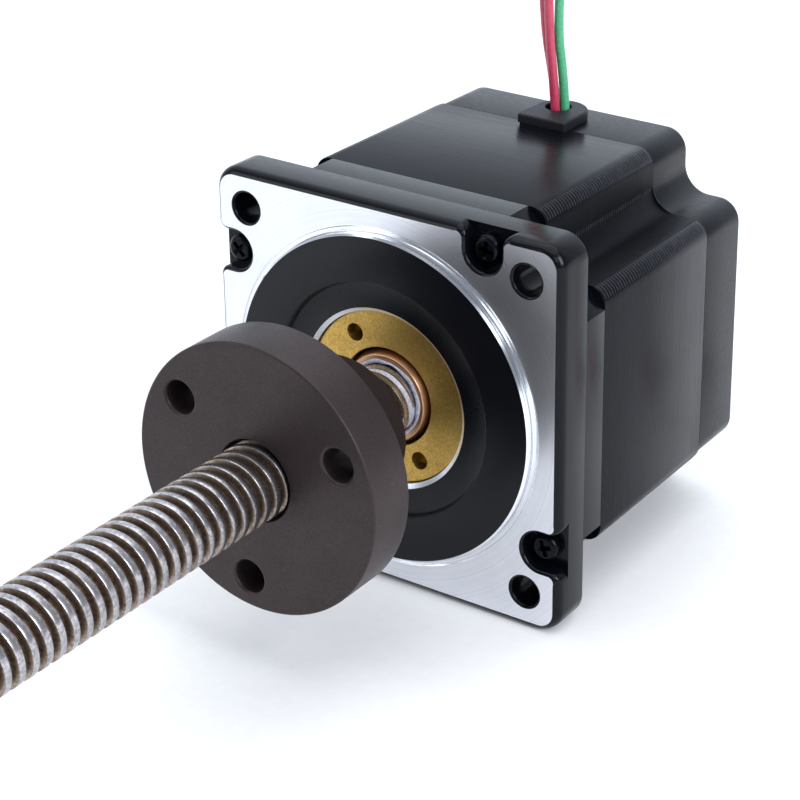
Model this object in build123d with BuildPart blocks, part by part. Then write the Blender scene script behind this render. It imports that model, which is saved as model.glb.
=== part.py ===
from build123d import *
import math
import os

os.makedirs("parts", exist_ok=True)

# Linear stepper motor on a NEMA 34 frame, in millimetres.
# The origin is the centre of the machined front face, +Y runs into the motor, +Z is up.

# Frame and body
FRAME = 86.0
HOLE_SQUARE = 69.6
MOUNT_HOLE = 6.5
HOLE_LIP = 0.65
FLANGE = 9.5
FLANGE_CORNER = 5.0
FLANGE_EDGE = 1.39
STACK_FRONT = 16.5
STACK_LENGTH = 42.9
STACK_REAR = STACK_FRONT + STACK_LENGTH
REAR_COVER = 15.9
BODY_REAR = STACK_REAR + REAR_COVER
NOTCH_DEPTH = 13.9
NOTCH_WALL = FRAME / 2 - NOTCH_DEPTH
NOTCH_INNER = 5.0
NOTCH_OUTER = 4.0
COVER_BEVEL = 4.6
REAR_NOTCH_INNER = 6.0
REAR_NOTCH_OUTER = 5.0
REAR_EDGE = 1.5

# Front face
PILOT = 73.02
PILOT_HEIGHT = 1.6
PILOT_CHAMFER = 0.3
RELIEF_WIDTH = 1.2
RELIEF_DEPTH = 0.4
STEP_OUTER = 26.4
STEP_INNER = 25.7
STEP_FLOOR = -0.3
BORE_CHAMFER = 20.2
BORE_START = 0.4

# Screw pockets in the flange and the cover screws in them
POCKET_SIDE = 4.6
POCKET_X = NOTCH_WALL - POCKET_SIDE
SCREW_SIDE = 4.9
SCREW_X = NOTCH_WALL - SCREW_SIDE
POCKET_EDGE = 4.6
SCREW_Z = FRAME / 2 - POCKET_EDGE
POCKET_WALL = 4.35
POCKET_LIP = 0.65
POCKET_FLARE = 2.4
POCKET_FLOOR = 3.7
SCREW_THREAD = 3.5
SCREW_HEAD = 6.0
SCREW_HEAD_HEIGHT = 2.3
SCREW_END = STACK_REAR + 8.6
SCREW_CLEARANCE = 0.2

# Bearings: outer diameter, bore and width of each, then balls, their circle, lands and cage
FRONT_BEARING_OUTER = 35.0
FRONT_BEARING_BORE = 15.0
FRONT_BEARING_WIDTH = 11.0
FRONT_BALL = 5.9
FRONT_BALL_CIRCLE = 25.0
FRONT_LAND = 2.4
FRONT_CAGE_WIDTH = 8.8
FRONT_CAGE_WALL = 1.4
REAR_BEARING_OUTER = 28.0
REAR_BEARING_BORE = 12.0
REAR_BEARING_WIDTH = 8.0
REAR_BALL = 4.6
REAR_BALL_CIRCLE = 20.0
REAR_LAND = 1.8
REAR_CAGE_WIDTH = 6.6
REAR_CAGE_WALL = 1.0
BALLS = 8
RACE_CLEARANCE = 0.2
POCKET_CLEARANCE = 0.15

# Retainer and collar in front of the front bearing
RETAINER = 38.4
RETAINER_CLEARANCE = 0.1
RETAINER_FACE = 1.1
RETAINER_HOLE = 22.0
RETAINER_REAR = 5.1
SPANNER_HOLE = 3.9
SPANNER_RADIUS = 15.0
SPANNER_ANGLE = 122.0
COLLAR = 21.4
COLLAR_FACE = 0.1
COLLAR_COUNTERBORE = 16.8
COLLAR_BEVEL = 0.4

# Cover interiors
SHOULDER_HOLE = 31.0
HUB = 42.0
HUB_REAR = 17.5
CAVITY = 75.0
CAVITY_FLOOR = 7.0
REAR_CAVITY_FLOOR = STACK_REAR + 8.6
REAR_HUB = 36.0
REAR_HUB_FRONT = STACK_REAR + 1.0
REAR_WALL = 4.7
REAR_POCKET_FLOOR = BODY_REAR - REAR_WALL

# Stator
POLES = 8
POLE_WIDTH = 9.0
STATOR_BORE = 50.4
SHOE = 57.0
SLOT = 73.0
SLOT_OPENING = 2.4
STATOR_TEETH = 6
TOOTH_PITCH = 7.2
TOOTH_GAP = 1.6
TOOTH_DEPTH = 1.1
INSULATOR_PLATE = 0.8
INSULATOR_WALL = 5.0
COIL_INNER = 28.8
COIL_HEIGHT = 5.6
COIL_WIDTH = 20.6
COIL_LINER = 0.4
COIL_END_TURN = 4.8
COIL_CORNER = 4.0

# Rotor
AIR_GAP = 0.3
ROTOR_TEETH = 50
ROTOR_SLOT = 1.6
ROTOR_SLOT_DEPTH = 1.0
ROTOR_INSET = 2.0
MAGNET = 2.9
CUP_FRONT = STACK_FRONT + ROTOR_INSET
CUP_LENGTH = (STACK_LENGTH - 2 * ROTOR_INSET - MAGNET) / 2
MAGNET_DIAMETER = 44.0
CIRCLIP = 1.2
CIRCLIP_GROOVE = 14.0
CIRCLIP_OPENING = 5.0
SPACER = 20.0

# Lead screw and nut
SCREW = 15.875
SCREW_TIP = -200.0
SCREW_THREAD_END = 1.9
SCREW_TIP_CHAMFER = 1.2
THREAD_PITCH = 3.175
THREAD_ROOT = 12.7
THREAD_GROOVE = 1.95
THREAD_FLOOR = 1.12
REAR_JOURNAL_START = STACK_REAR + 1.5
SHAFT_END = REAR_POCKET_FLOOR - 1.1
NUT_FLANGE = 57.0
NUT_FACE = -41.9
NUT_FLANGE_REAR = -30.9
NUT_HUB = 30.4
NUT_HUB_END = -13.1
NUT_HOLE = 7.0
NUT_PITCH_CIRCLE = 44.0
NUT_HOLE_ANGLE = 24.0
NUT_EDGE = 0.5
NUT_HOLE_CHAMFER = 0.35
NUT_BORE_CHAMFER = 17.0
NUT_CLEARANCE = 0.06

# Grommet and leads
GROMMET_X = 1.65
GROMMET_WIDTH = 12.3
GROMMET_FRONT = STACK_REAR - 2.4
GROMMET_REAR = STACK_REAR + 12.0
GROMMET_HEIGHT = 2.4
GROMMET_EDGE = 0.5
GROMMET_NECK = 9.0
GROMMET_BOTTOM = 37.6
LEAD_HOLE = 6.0
LEAD_HOLE_AT = (0.6, STACK_REAR + 6.7)
LEAD_START = 43.4
LEAD = 2.1


def across(y):
    """Plane across the motor at depth y: local x is X, local y is Z, normal towards the front."""
    return Plane.XZ.offset(-y)


def notched_square(inner, outer, bevelled=False):
    """Body outline: the frame's square with its four corners cut away, outer ones round or bevelled."""
    with BuildSketch() as outline:
        Rectangle(FRAME, FRAME)
        with GridLocations(FRAME, FRAME, 2, 2):
            Rectangle(FRAME - 2 * NOTCH_WALL, FRAME - 2 * NOTCH_WALL, mode=Mode.SUBTRACT)
        fillet(outline.vertices().group_by(SortBy.DISTANCE)[0], inner)
        soften = chamfer if bevelled else fillet
        soften(outline.vertices().group_by(SortBy.DISTANCE)[-1], outer)
    return outline.sketch


def pocket_outline(wall):
    """Pocket seen from the front: a half-round slot with a flared mouth at the flange's edge."""
    mouth = FRAME / 2 - SCREW_Z
    spread = POCKET_WALL + POCKET_FLARE
    flare = spread - wall
    with BuildSketch() as outline:
        with Locations((0, mouth - flare)):
            Rectangle(2 * spread, flare + 3.0, align=(Align.CENTER, Align.MIN))
        with Locations((-spread, mouth - flare), (spread, mouth - flare)):
            Circle(flare, mode=Mode.SUBTRACT)
        with Locations((-spread, mouth - flare), (spread, mouth - flare)):
            Rectangle(2 * flare, 2 * flare, align=(Align.CENTER, Align.MAX), mode=Mode.SUBTRACT)
        Rectangle(2 * wall, mouth + 3.0, align=(Align.CENTER, Align.MIN))
        Circle(wall)
    return outline.sketch


def turned_four_times(x, z):
    """Four places on the front face, one quarter turn apart."""
    return [Rotation(0, 0, turn) * Pos(x, z) for turn in (0, 90, 180, 270)]


def stator_profile(bore, tooth_gaps):
    """Poles and shoes inside the slot circle, as one closed ring of eight poles."""
    with BuildSketch() as poles:
        Circle(SHOE / 2)
        with PolarLocations(0, POLES, start_angle=360 / POLES / 2):
            Rectangle(SLOT / 2 + 0.4, POLE_WIDTH, align=(Align.MIN, Align.CENTER))
        Circle(bore / 2, mode=Mode.SUBTRACT)
        with PolarLocations(0, POLES):
            Rectangle(SHOE, SLOT_OPENING, align=(Align.MIN, Align.CENTER), mode=Mode.SUBTRACT)
        if tooth_gaps:
            for pole in range(POLES):
                for gap in range(STATOR_TEETH - 1):
                    angle = 360 / POLES * (pole + 0.5) + TOOTH_PITCH * (gap - (STATOR_TEETH - 2) / 2)
                    with Locations(Rotation(0, 0, angle)):
                        with Locations((bore / 2 - 1.0, 0)):
                            Rectangle(1.0 + TOOTH_DEPTH, TOOTH_GAP, align=(Align.MIN, Align.CENTER),
                                      mode=Mode.SUBTRACT)
    return poles.sketch


cover_outline = notched_square(NOTCH_INNER, COVER_BEVEL, bevelled=True)
stack_outline = notched_square(NOTCH_INNER, NOTCH_OUTER)
rear_outline = notched_square(REAR_NOTCH_INNER, REAR_NOTCH_OUTER)
pocket_places = turned_four_times(POCKET_X, SCREW_Z)
screw_places = turned_four_times(SCREW_X, SCREW_Z)
pocket = pocket_outline(POCKET_WALL)
pocket_lip = pocket_outline(POCKET_WALL + POCKET_LIP)


# Front cover: flange, pilot, notched body, bearing seat and the cavity for the coil ends
with BuildPart() as front_cover:
    with BuildSketch(across(0)):
        RectangleRounded(FRAME, FRAME, FLANGE_CORNER)
    extrude(amount=-FLANGE)
    fillet(front_cover.faces().sort_by(Axis.Y)[0].edges(), FLANGE_EDGE)
    with BuildSketch(across(FLANGE)):
        add(cover_outline)
    extrude(amount=-(STACK_FRONT - FLANGE))
    with BuildSketch(across(0)):
        Circle(PILOT / 2 + RELIEF_WIDTH)
        Circle(PILOT / 2, mode=Mode.SUBTRACT)
    extrude(amount=-RELIEF_DEPTH, mode=Mode.SUBTRACT)
    with BuildSketch(across(0)):
        Circle(PILOT / 2)
    extrude(amount=PILOT_HEIGHT)
    chamfer(front_cover.faces().sort_by(Axis.Y)[0].edges(), PILOT_CHAMFER)
    # Bolt holes in the corners, rounded at the front
    with BuildSketch(across(0)):
        with GridLocations(HOLE_SQUARE, HOLE_SQUARE, 2, 2):
            Circle(MOUNT_HOLE / 2)
    extrude(amount=-FLANGE, mode=Mode.SUBTRACT)
    with BuildSketch(across(0)):
        with GridLocations(HOLE_SQUARE, HOLE_SQUARE, 2, 2):
            Circle(MOUNT_HOLE / 2 + HOLE_LIP)
    extrude(amount=-HOLE_LIP, taper=45, mode=Mode.SUBTRACT)
    # Screw pockets with a bevelled lip
    with BuildSketch(across(0)):
        with Locations(*pocket_places):
            add(pocket)
    extrude(amount=-POCKET_FLOOR, mode=Mode.SUBTRACT)
    with BuildSketch(across(0)):
        with Locations(*pocket_places):
            add(pocket_lip)
    extrude(amount=-POCKET_LIP, taper=45, mode=Mode.SUBTRACT)
    with BuildSketch(across(POCKET_FLOOR)):
        with Locations(*screw_places):
            Circle(SCREW_THREAD / 2 + SCREW_CLEARANCE)
    extrude(amount=-(STACK_FRONT - POCKET_FLOOR), mode=Mode.SUBTRACT)
    # Ring cavity around the bearing hub
    with BuildSketch(across(STACK_FRONT)):
        Circle(CAVITY / 2)
        Circle(HUB / 2, mode=Mode.SUBTRACT)
    extrude(amount=STACK_FRONT - CAVITY_FLOOR, mode=Mode.SUBTRACT)
    with BuildSketch(across(STACK_FRONT)):
        Circle(HUB / 2)
    extrude(amount=-(HUB_REAR - STACK_FRONT))
    # Stepped bore: recess, retainer bore, bearing seat and shoulder
    with BuildSketch(Plane.XY):
        with BuildLine():
            Polyline(
                (0, -PILOT_HEIGHT - 1),
                (STEP_OUTER, -PILOT_HEIGHT - 1),
                (STEP_OUTER, -PILOT_HEIGHT),
                (STEP_INNER, STEP_FLOOR),
                (BORE_CHAMFER, STEP_FLOOR),
                (RETAINER / 2 + RETAINER_CLEARANCE, BORE_START),
                (RETAINER / 2 + RETAINER_CLEARANCE, RETAINER_REAR),
                (FRONT_BEARING_OUTER / 2, RETAINER_REAR),
                (FRONT_BEARING_OUTER / 2, RETAINER_REAR + FRONT_BEARING_WIDTH),
                (SHOULDER_HOLE / 2, RETAINER_REAR + FRONT_BEARING_WIDTH),
                (SHOULDER_HOLE / 2, HUB_REAR + 1),
                (0, HUB_REAR + 1),
                close=True,
            )
        make_face()
    revolve(axis=Axis.Y, mode=Mode.SUBTRACT)
front_cover.part.label = "front_cover"
export_step(front_cover.part, "parts/front_cover.step")


# Rear cover: notched cap with the rear bearing's pocket, a cavity and the grommet's slot
with BuildPart() as rear_cover:
    with BuildSketch(across(STACK_REAR)):
        add(rear_outline)
    extrude(amount=-(BODY_REAR - STACK_REAR))
    fillet(rear_cover.faces().sort_by(Axis.Y)[-1].edges(), REAR_EDGE)
    with BuildSketch(across(STACK_REAR)):
        Circle(CAVITY / 2)
        Circle(REAR_HUB / 2, mode=Mode.SUBTRACT)
    extrude(amount=-(REAR_CAVITY_FLOOR - STACK_REAR), mode=Mode.SUBTRACT)
    with BuildSketch(across(STACK_REAR)):
        Circle(CAVITY / 2)
    extrude(amount=-(REAR_HUB_FRONT - STACK_REAR), mode=Mode.SUBTRACT)
    with BuildSketch(across(REAR_HUB_FRONT)):
        Circle(REAR_BEARING_OUTER / 2)
    extrude(amount=-(REAR_POCKET_FLOOR - REAR_HUB_FRONT), mode=Mode.SUBTRACT)
    with BuildSketch(across(STACK_REAR)):
        with Locations(*screw_places):
            Circle(SCREW_THREAD / 2)
    extrude(amount=-(SCREW_END - STACK_REAR + 1), mode=Mode.SUBTRACT)
    with BuildSketch(Plane.XY.offset(FRAME / 2)):
        with Locations((GROMMET_X, GROMMET_REAR - GROMMET_WIDTH / 2)):
            Circle(GROMMET_NECK / 2)
            Rectangle(GROMMET_NECK, FRAME, align=(Align.CENTER, Align.MAX))
    extrude(amount=-(FRAME / 2 - GROMMET_BOTTOM + 1), mode=Mode.SUBTRACT)
rear_cover.part.label = "rear_cover"
export_step(rear_cover.part, "parts/rear_cover.step")


# Stator stack: notched laminations with eight toothed poles, drawn as one block
stack_poles = stator_profile(STATOR_BORE, tooth_gaps=True)
with BuildPart() as stator_stack:
    with BuildSketch(across(STACK_FRONT)):
        add(stack_outline)
        Circle(SLOT / 2, mode=Mode.SUBTRACT)
        add(stack_poles)
        with Locations(*screw_places):
            Circle(SCREW_THREAD / 2 + SCREW_CLEARANCE, mode=Mode.SUBTRACT)
    extrude(amount=-STACK_LENGTH)
stator_stack.part.label = "stator_stack"
export_step(stator_stack.part, "parts/stator_stack.step")


# Coil insulators: a thin plate on each end of the poles, with walls that hold the end turns
insulator_poles = stator_profile(STATOR_BORE + 1.2, tooth_gaps=False)
with BuildPart() as coil_insulator_front:
    with BuildSketch(across(STACK_FRONT)):
        Circle(CAVITY / 2 - 0.2)
        Circle(SLOT / 2 - 0.2, mode=Mode.SUBTRACT)
        add(insulator_poles)
    extrude(amount=INSULATOR_PLATE)
    with BuildSketch(across(STACK_FRONT - INSULATOR_PLATE)):
        Circle(CAVITY / 2 - 0.2)
        Circle(SLOT / 2 - 0.2, mode=Mode.SUBTRACT)
        with BuildSketch(mode=Mode.PRIVATE) as lips:
            Circle(SHOE / 2)
            Circle(SHOE / 2 - 1.4, mode=Mode.SUBTRACT)
            with PolarLocations(0, POLES):
                Rectangle(SHOE, 3 * SLOT_OPENING, align=(Align.MIN, Align.CENTER), mode=Mode.SUBTRACT)
        add(lips.sketch)
    extrude(amount=INSULATOR_WALL)
coil_insulator_front.part.label = "coil_insulator_front"
export_step(coil_insulator_front.part, "parts/coil_insulator_front.step")

with BuildPart() as coil_insulator_rear:
    add(coil_insulator_front.part.mirror(across((STACK_FRONT + STACK_REAR) / 2)))
coil_insulator_rear.part.label = "coil_insulator_rear"
export_step(coil_insulator_rear.part, "parts/coil_insulator_rear.step")


# Coils: one wound ring round each pole, standing out past both ends of the stack
with BuildPart() as stator_coils:
    for pole in range(POLES):
        turn = 360 / POLES * (pole + 0.5)
        out = Vector(math.cos(math.radians(turn)), 0, math.sin(math.radians(turn)))
        middle = Vector(0, (STACK_FRONT + STACK_REAR) / 2, 0)
        with BuildSketch(Plane(origin=middle + out * COIL_INNER, x_dir=(0, 1, 0), z_dir=out)):
            RectangleRounded(STACK_LENGTH + 2 * (INSULATOR_PLATE + COIL_END_TURN), COIL_WIDTH, COIL_CORNER)
            Rectangle(STACK_LENGTH + 2 * INSULATOR_PLATE, POLE_WIDTH + 2 * COIL_LINER,
                      mode=Mode.SUBTRACT)
        extrude(amount=COIL_HEIGHT)
stator_coils.part.label = "stator_coils"
export_step(stator_coils.part, "parts/stator_coils.step")


# Ball bearings: outer race, inner race, cage and balls, each in its own node
def race_profile(bore, outside, groove_circle, groove, start, width):
    """Half section of a race, a rectangle less the ball groove, on the XY plane."""
    with BuildSketch() as section:
        with Locations((bore / 2, start)):
            Rectangle((outside - bore) / 2, width, align=(Align.MIN, Align.MIN))
        with Locations((groove_circle / 2, start + width / 2)):
            Circle(groove / 2, mode=Mode.SUBTRACT)
    return section.sketch


def ball_places(circle, y):
    """Centres of the balls on their circle at depth y."""
    step = 2 * math.pi / BALLS
    return [(circle / 2 * math.cos(i * step), y, circle / 2 * math.sin(i * step)) for i in range(BALLS)]


def ball_planes(y):
    """Planes on the shaft's axis at depth y, each facing one ball."""
    step = 2 * math.pi / BALLS
    facing = [(math.cos(i * step), 0, math.sin(i * step)) for i in range(BALLS)]
    return [Plane(origin=(0, y, 0), x_dir=(0, 1, 0), z_dir=direction) for direction in facing]


front_bearing_y = RETAINER_REAR + FRONT_BEARING_WIDTH / 2
front_groove = FRONT_BALL + 2 * RACE_CLEARANCE
with BuildPart() as front_bearing_outer:
    with BuildSketch(Plane.XY):
        add(race_profile(FRONT_BALL_CIRCLE + 2 * FRONT_LAND, FRONT_BEARING_OUTER, FRONT_BALL_CIRCLE,
                         front_groove, RETAINER_REAR, FRONT_BEARING_WIDTH))
    revolve(axis=Axis.Y)
front_bearing_outer.part.label = "front_bearing_outer"
export_step(front_bearing_outer.part, "parts/front_bearing_outer.step")

with BuildPart() as front_bearing_inner:
    with BuildSketch(Plane.XY):
        add(race_profile(FRONT_BEARING_BORE, FRONT_BALL_CIRCLE - 2 * FRONT_LAND, FRONT_BALL_CIRCLE,
                         front_groove, RETAINER_REAR, FRONT_BEARING_WIDTH))
    revolve(axis=Axis.Y)
front_bearing_inner.part.label = "front_bearing_inner"
export_step(front_bearing_inner.part, "parts/front_bearing_inner.step")

with BuildPart() as front_bearing_balls:
    with Locations(*ball_places(FRONT_BALL_CIRCLE, front_bearing_y)):
        Sphere(FRONT_BALL / 2)
front_bearing_balls.part.label = "front_bearing_balls"
export_step(front_bearing_balls.part, "parts/front_bearing_balls.step")

with BuildPart() as front_bearing_cage:
    with BuildSketch(across(front_bearing_y - FRONT_CAGE_WIDTH / 2)):
        Circle((FRONT_BALL_CIRCLE + FRONT_CAGE_WALL) / 2)
        Circle((FRONT_BALL_CIRCLE - FRONT_CAGE_WALL) / 2, mode=Mode.SUBTRACT)
    extrude(amount=-FRONT_CAGE_WIDTH)
    for pocket_plane in ball_planes(front_bearing_y):
        with BuildSketch(pocket_plane):
            Circle(FRONT_BALL / 2 + POCKET_CLEARANCE)
        extrude(amount=FRONT_BALL_CIRCLE, mode=Mode.SUBTRACT)
front_bearing_cage.part.label = "front_bearing_cage"
export_step(front_bearing_cage.part, "parts/front_bearing_cage.step")

rear_bearing_y = REAR_JOURNAL_START + REAR_BEARING_WIDTH / 2
rear_groove = REAR_BALL + 2 * RACE_CLEARANCE
with BuildPart() as rear_bearing_outer:
    with BuildSketch(Plane.XY):
        add(race_profile(REAR_BALL_CIRCLE + 2 * REAR_LAND, REAR_BEARING_OUTER, REAR_BALL_CIRCLE,
                         rear_groove, REAR_JOURNAL_START, REAR_BEARING_WIDTH))
    revolve(axis=Axis.Y)
rear_bearing_outer.part.label = "rear_bearing_outer"
export_step(rear_bearing_outer.part, "parts/rear_bearing_outer.step")

with BuildPart() as rear_bearing_inner:
    with BuildSketch(Plane.XY):
        add(race_profile(REAR_BEARING_BORE, REAR_BALL_CIRCLE - 2 * REAR_LAND, REAR_BALL_CIRCLE,
                         rear_groove, REAR_JOURNAL_START, REAR_BEARING_WIDTH))
    revolve(axis=Axis.Y)
rear_bearing_inner.part.label = "rear_bearing_inner"
export_step(rear_bearing_inner.part, "parts/rear_bearing_inner.step")

with BuildPart() as rear_bearing_balls:
    with Locations(*ball_places(REAR_BALL_CIRCLE, rear_bearing_y)):
        Sphere(REAR_BALL / 2)
rear_bearing_balls.part.label = "rear_bearing_balls"
export_step(rear_bearing_balls.part, "parts/rear_bearing_balls.step")

with BuildPart() as rear_bearing_cage:
    with BuildSketch(across(rear_bearing_y - REAR_CAGE_WIDTH / 2)):
        Circle((REAR_BALL_CIRCLE + REAR_CAGE_WALL) / 2)
        Circle((REAR_BALL_CIRCLE - REAR_CAGE_WALL) / 2, mode=Mode.SUBTRACT)
    extrude(amount=-REAR_CAGE_WIDTH)
    for pocket_plane in ball_planes(rear_bearing_y):
        with BuildSketch(pocket_plane):
            Circle(REAR_BALL / 2 + POCKET_CLEARANCE)
        extrude(amount=REAR_BALL_CIRCLE, mode=Mode.SUBTRACT)
rear_bearing_cage.part.label = "rear_bearing_cage"
export_step(rear_bearing_cage.part, "parts/rear_bearing_cage.step")

# Wave spring that preloads the rear bearing
with BuildPart() as wave_spring:
    with BuildSketch(across(REAR_JOURNAL_START + REAR_BEARING_WIDTH)):
        Circle(REAR_BEARING_OUTER / 2 - 0.2)
        Circle(REAR_BEARING_OUTER / 2 - 2.6, mode=Mode.SUBTRACT)
    extrude(amount=-(REAR_POCKET_FLOOR - REAR_JOURNAL_START - REAR_BEARING_WIDTH))
wave_spring.part.label = "wave_spring"
export_step(wave_spring.part, "parts/wave_spring.step")


# Bearing retainer: threaded ring that clamps the front bearing, with two spanner holes
with BuildPart() as bearing_retainer:
    with BuildSketch(across(RETAINER_FACE)):
        Circle(RETAINER / 2)
        Circle(RETAINER_HOLE / 2, mode=Mode.SUBTRACT)
        with PolarLocations(SPANNER_RADIUS, 2, start_angle=SPANNER_ANGLE):
            Circle(SPANNER_HOLE / 2, mode=Mode.SUBTRACT)
    extrude(amount=-(RETAINER_REAR - RETAINER_FACE))
    chamfer(bearing_retainer.faces().sort_by(Axis.Y)[0].outer_wire().edges(), 0.3)
bearing_retainer.part.label = "bearing_retainer"
export_step(bearing_retainer.part, "parts/bearing_retainer.step")

# Collar that holds the screw against the front bearing's inner race
with BuildPart() as screw_collar:
    with BuildSketch(across(COLLAR_FACE)):
        Circle(COLLAR / 2)
        Circle(FRONT_BEARING_BORE / 2, mode=Mode.SUBTRACT)
    extrude(amount=-(RETAINER_REAR - COLLAR_FACE))
    with BuildSketch(across(COLLAR_FACE)):
        Circle(COLLAR_COUNTERBORE / 2)
    extrude(amount=-(SCREW_THREAD_END - COLLAR_FACE), mode=Mode.SUBTRACT)
    chamfer(screw_collar.faces().sort_by(Axis.Y)[0].outer_wire().edges(), COLLAR_BEVEL)
screw_collar.part.label = "screw_collar"
export_step(screw_collar.part, "parts/screw_collar.step")

def thread_points():
    """Outline of the thread from the tip to the collar, its turns drawn as rings one pitch apart."""
    points = []
    turns = int((SCREW_THREAD_END - SCREW_TIP - 2 * SCREW_TIP_CHAMFER) / THREAD_PITCH)
    for turn in range(turns):
        middle = SCREW_TIP + SCREW_TIP_CHAMFER + THREAD_PITCH * (turn + 0.6)
        points.append((SCREW / 2, middle - THREAD_GROOVE / 2))
        points.append((THREAD_ROOT / 2, middle - THREAD_FLOOR / 2))
        points.append((THREAD_ROOT / 2, middle + THREAD_FLOOR / 2))
        points.append((SCREW / 2, middle + THREAD_GROOVE / 2))
    return points


# Lead screw and shaft in one piece; the thread runs from the tip to the collar
cup_rear_end = CUP_FRONT + 2 * CUP_LENGTH + MAGNET
with BuildPart() as lead_screw:
    with BuildSketch(Plane.XY):
        with BuildLine():
            Polyline(
                (0, SCREW_TIP),
                (SCREW / 2 - SCREW_TIP_CHAMFER, SCREW_TIP),
                (SCREW / 2, SCREW_TIP + SCREW_TIP_CHAMFER),
                *thread_points(),
                (SCREW / 2, SCREW_THREAD_END),
                (FRONT_BEARING_BORE / 2, SCREW_THREAD_END),
                (FRONT_BEARING_BORE / 2, cup_rear_end),
                (CIRCLIP_GROOVE / 2, cup_rear_end),
                (CIRCLIP_GROOVE / 2, cup_rear_end + CIRCLIP),
                (FRONT_BEARING_BORE / 2, cup_rear_end + CIRCLIP),
                (FRONT_BEARING_BORE / 2, REAR_JOURNAL_START),
                (REAR_BEARING_BORE / 2, REAR_JOURNAL_START),
                (REAR_BEARING_BORE / 2, SHAFT_END),
                (0, SHAFT_END),
                close=True,
            )
        make_face()
    revolve(axis=Axis.Y)
lead_screw.part.label = "lead_screw"
export_step(lead_screw.part, "parts/lead_screw.step")


# Rotor: spacer, two toothed cups half a tooth apart with the magnet between, and the circlip
def cup_profile(turn):
    """Toothed ring of one cup, turned by an angle about the shaft."""
    radius = STATOR_BORE / 2 - AIR_GAP
    with BuildSketch() as profile:
        Circle(radius)
        Circle(FRONT_BEARING_BORE / 2, mode=Mode.SUBTRACT)
        with PolarLocations(radius - ROTOR_SLOT_DEPTH, ROTOR_TEETH, start_angle=turn):
            Rectangle(2 * ROTOR_SLOT_DEPTH, ROTOR_SLOT, align=(Align.MIN, Align.CENTER),
                      mode=Mode.SUBTRACT)
    return profile.sketch


front_cup_profile = cup_profile(0)
rear_cup_profile = cup_profile(180 / ROTOR_TEETH)
with BuildPart() as rotor_cup_front:
    with BuildSketch(across(CUP_FRONT)):
        add(front_cup_profile)
    extrude(amount=-CUP_LENGTH)
rotor_cup_front.part.label = "rotor_cup_front"
export_step(rotor_cup_front.part, "parts/rotor_cup_front.step")

with BuildPart() as rotor_cup_rear:
    with BuildSketch(across(CUP_FRONT + CUP_LENGTH + MAGNET)):
        add(rear_cup_profile)
    extrude(amount=-CUP_LENGTH)
rotor_cup_rear.part.label = "rotor_cup_rear"
export_step(rotor_cup_rear.part, "parts/rotor_cup_rear.step")

with BuildPart() as rotor_magnet:
    with BuildSketch(across(CUP_FRONT + CUP_LENGTH)):
        Circle(MAGNET_DIAMETER / 2)
        Circle(FRONT_BEARING_BORE / 2, mode=Mode.SUBTRACT)
    extrude(amount=-MAGNET)
rotor_magnet.part.label = "rotor_magnet"
export_step(rotor_magnet.part, "parts/rotor_magnet.step")

with BuildPart() as rotor_spacer:
    with BuildSketch(across(RETAINER_REAR + FRONT_BEARING_WIDTH)):
        Circle(SPACER / 2)
        Circle(FRONT_BEARING_BORE / 2, mode=Mode.SUBTRACT)
    extrude(amount=-(CUP_FRONT - RETAINER_REAR - FRONT_BEARING_WIDTH))
rotor_spacer.part.label = "rotor_spacer"
export_step(rotor_spacer.part, "parts/rotor_spacer.step")

with BuildPart() as rotor_circlip:
    with BuildSketch(across(cup_rear_end)):
        Circle(SPACER / 2)
        Circle(CIRCLIP_GROOVE / 2, mode=Mode.SUBTRACT)
        Rectangle(SPACER, CIRCLIP_OPENING, align=(Align.MIN, Align.CENTER), mode=Mode.SUBTRACT)
    extrude(amount=-CIRCLIP)
rotor_circlip.part.label = "rotor_circlip"
export_step(rotor_circlip.part, "parts/rotor_circlip.step")


# Flange nut: round flange with three bolt holes, a hub and the bore that runs on the screw
with BuildPart() as flange_nut:
    with BuildSketch(across(NUT_FACE)):
        Circle(NUT_FLANGE / 2)
    extrude(amount=-(NUT_FLANGE_REAR - NUT_FACE))
    chamfer(flange_nut.faces().sort_by(Axis.Y)[0].edges(), NUT_EDGE)
    with BuildSketch(across(NUT_FLANGE_REAR)):
        Circle(NUT_HUB / 2)
    extrude(amount=-(NUT_HUB_END - NUT_FLANGE_REAR))
    chamfer(flange_nut.faces().sort_by(Axis.Y)[-1].edges(), NUT_EDGE)
    with BuildSketch(across(NUT_FACE)):
        with PolarLocations(NUT_PITCH_CIRCLE / 2, 3, start_angle=NUT_HOLE_ANGLE):
            Circle(NUT_HOLE / 2)
    extrude(amount=-(NUT_FLANGE_REAR - NUT_FACE), mode=Mode.SUBTRACT)
    with BuildSketch(across(NUT_FACE)):
        with PolarLocations(NUT_PITCH_CIRCLE / 2, 3, start_angle=NUT_HOLE_ANGLE):
            Circle(NUT_HOLE / 2 + NUT_HOLE_CHAMFER)
    extrude(amount=-NUT_HOLE_CHAMFER, taper=45, mode=Mode.SUBTRACT)
    with BuildSketch(across(NUT_FACE)):
        Circle(SCREW / 2 + NUT_CLEARANCE)
    extrude(amount=-(NUT_HUB_END - NUT_FACE), mode=Mode.SUBTRACT)
    with BuildSketch(across(NUT_FACE)):
        Circle(NUT_BORE_CHAMFER / 2)
    extrude(amount=-(NUT_BORE_CHAMFER - SCREW) / 2, taper=45, mode=Mode.SUBTRACT)
flange_nut.part.label = "flange_nut"
export_step(flange_nut.part, "parts/flange_nut.step")


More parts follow.
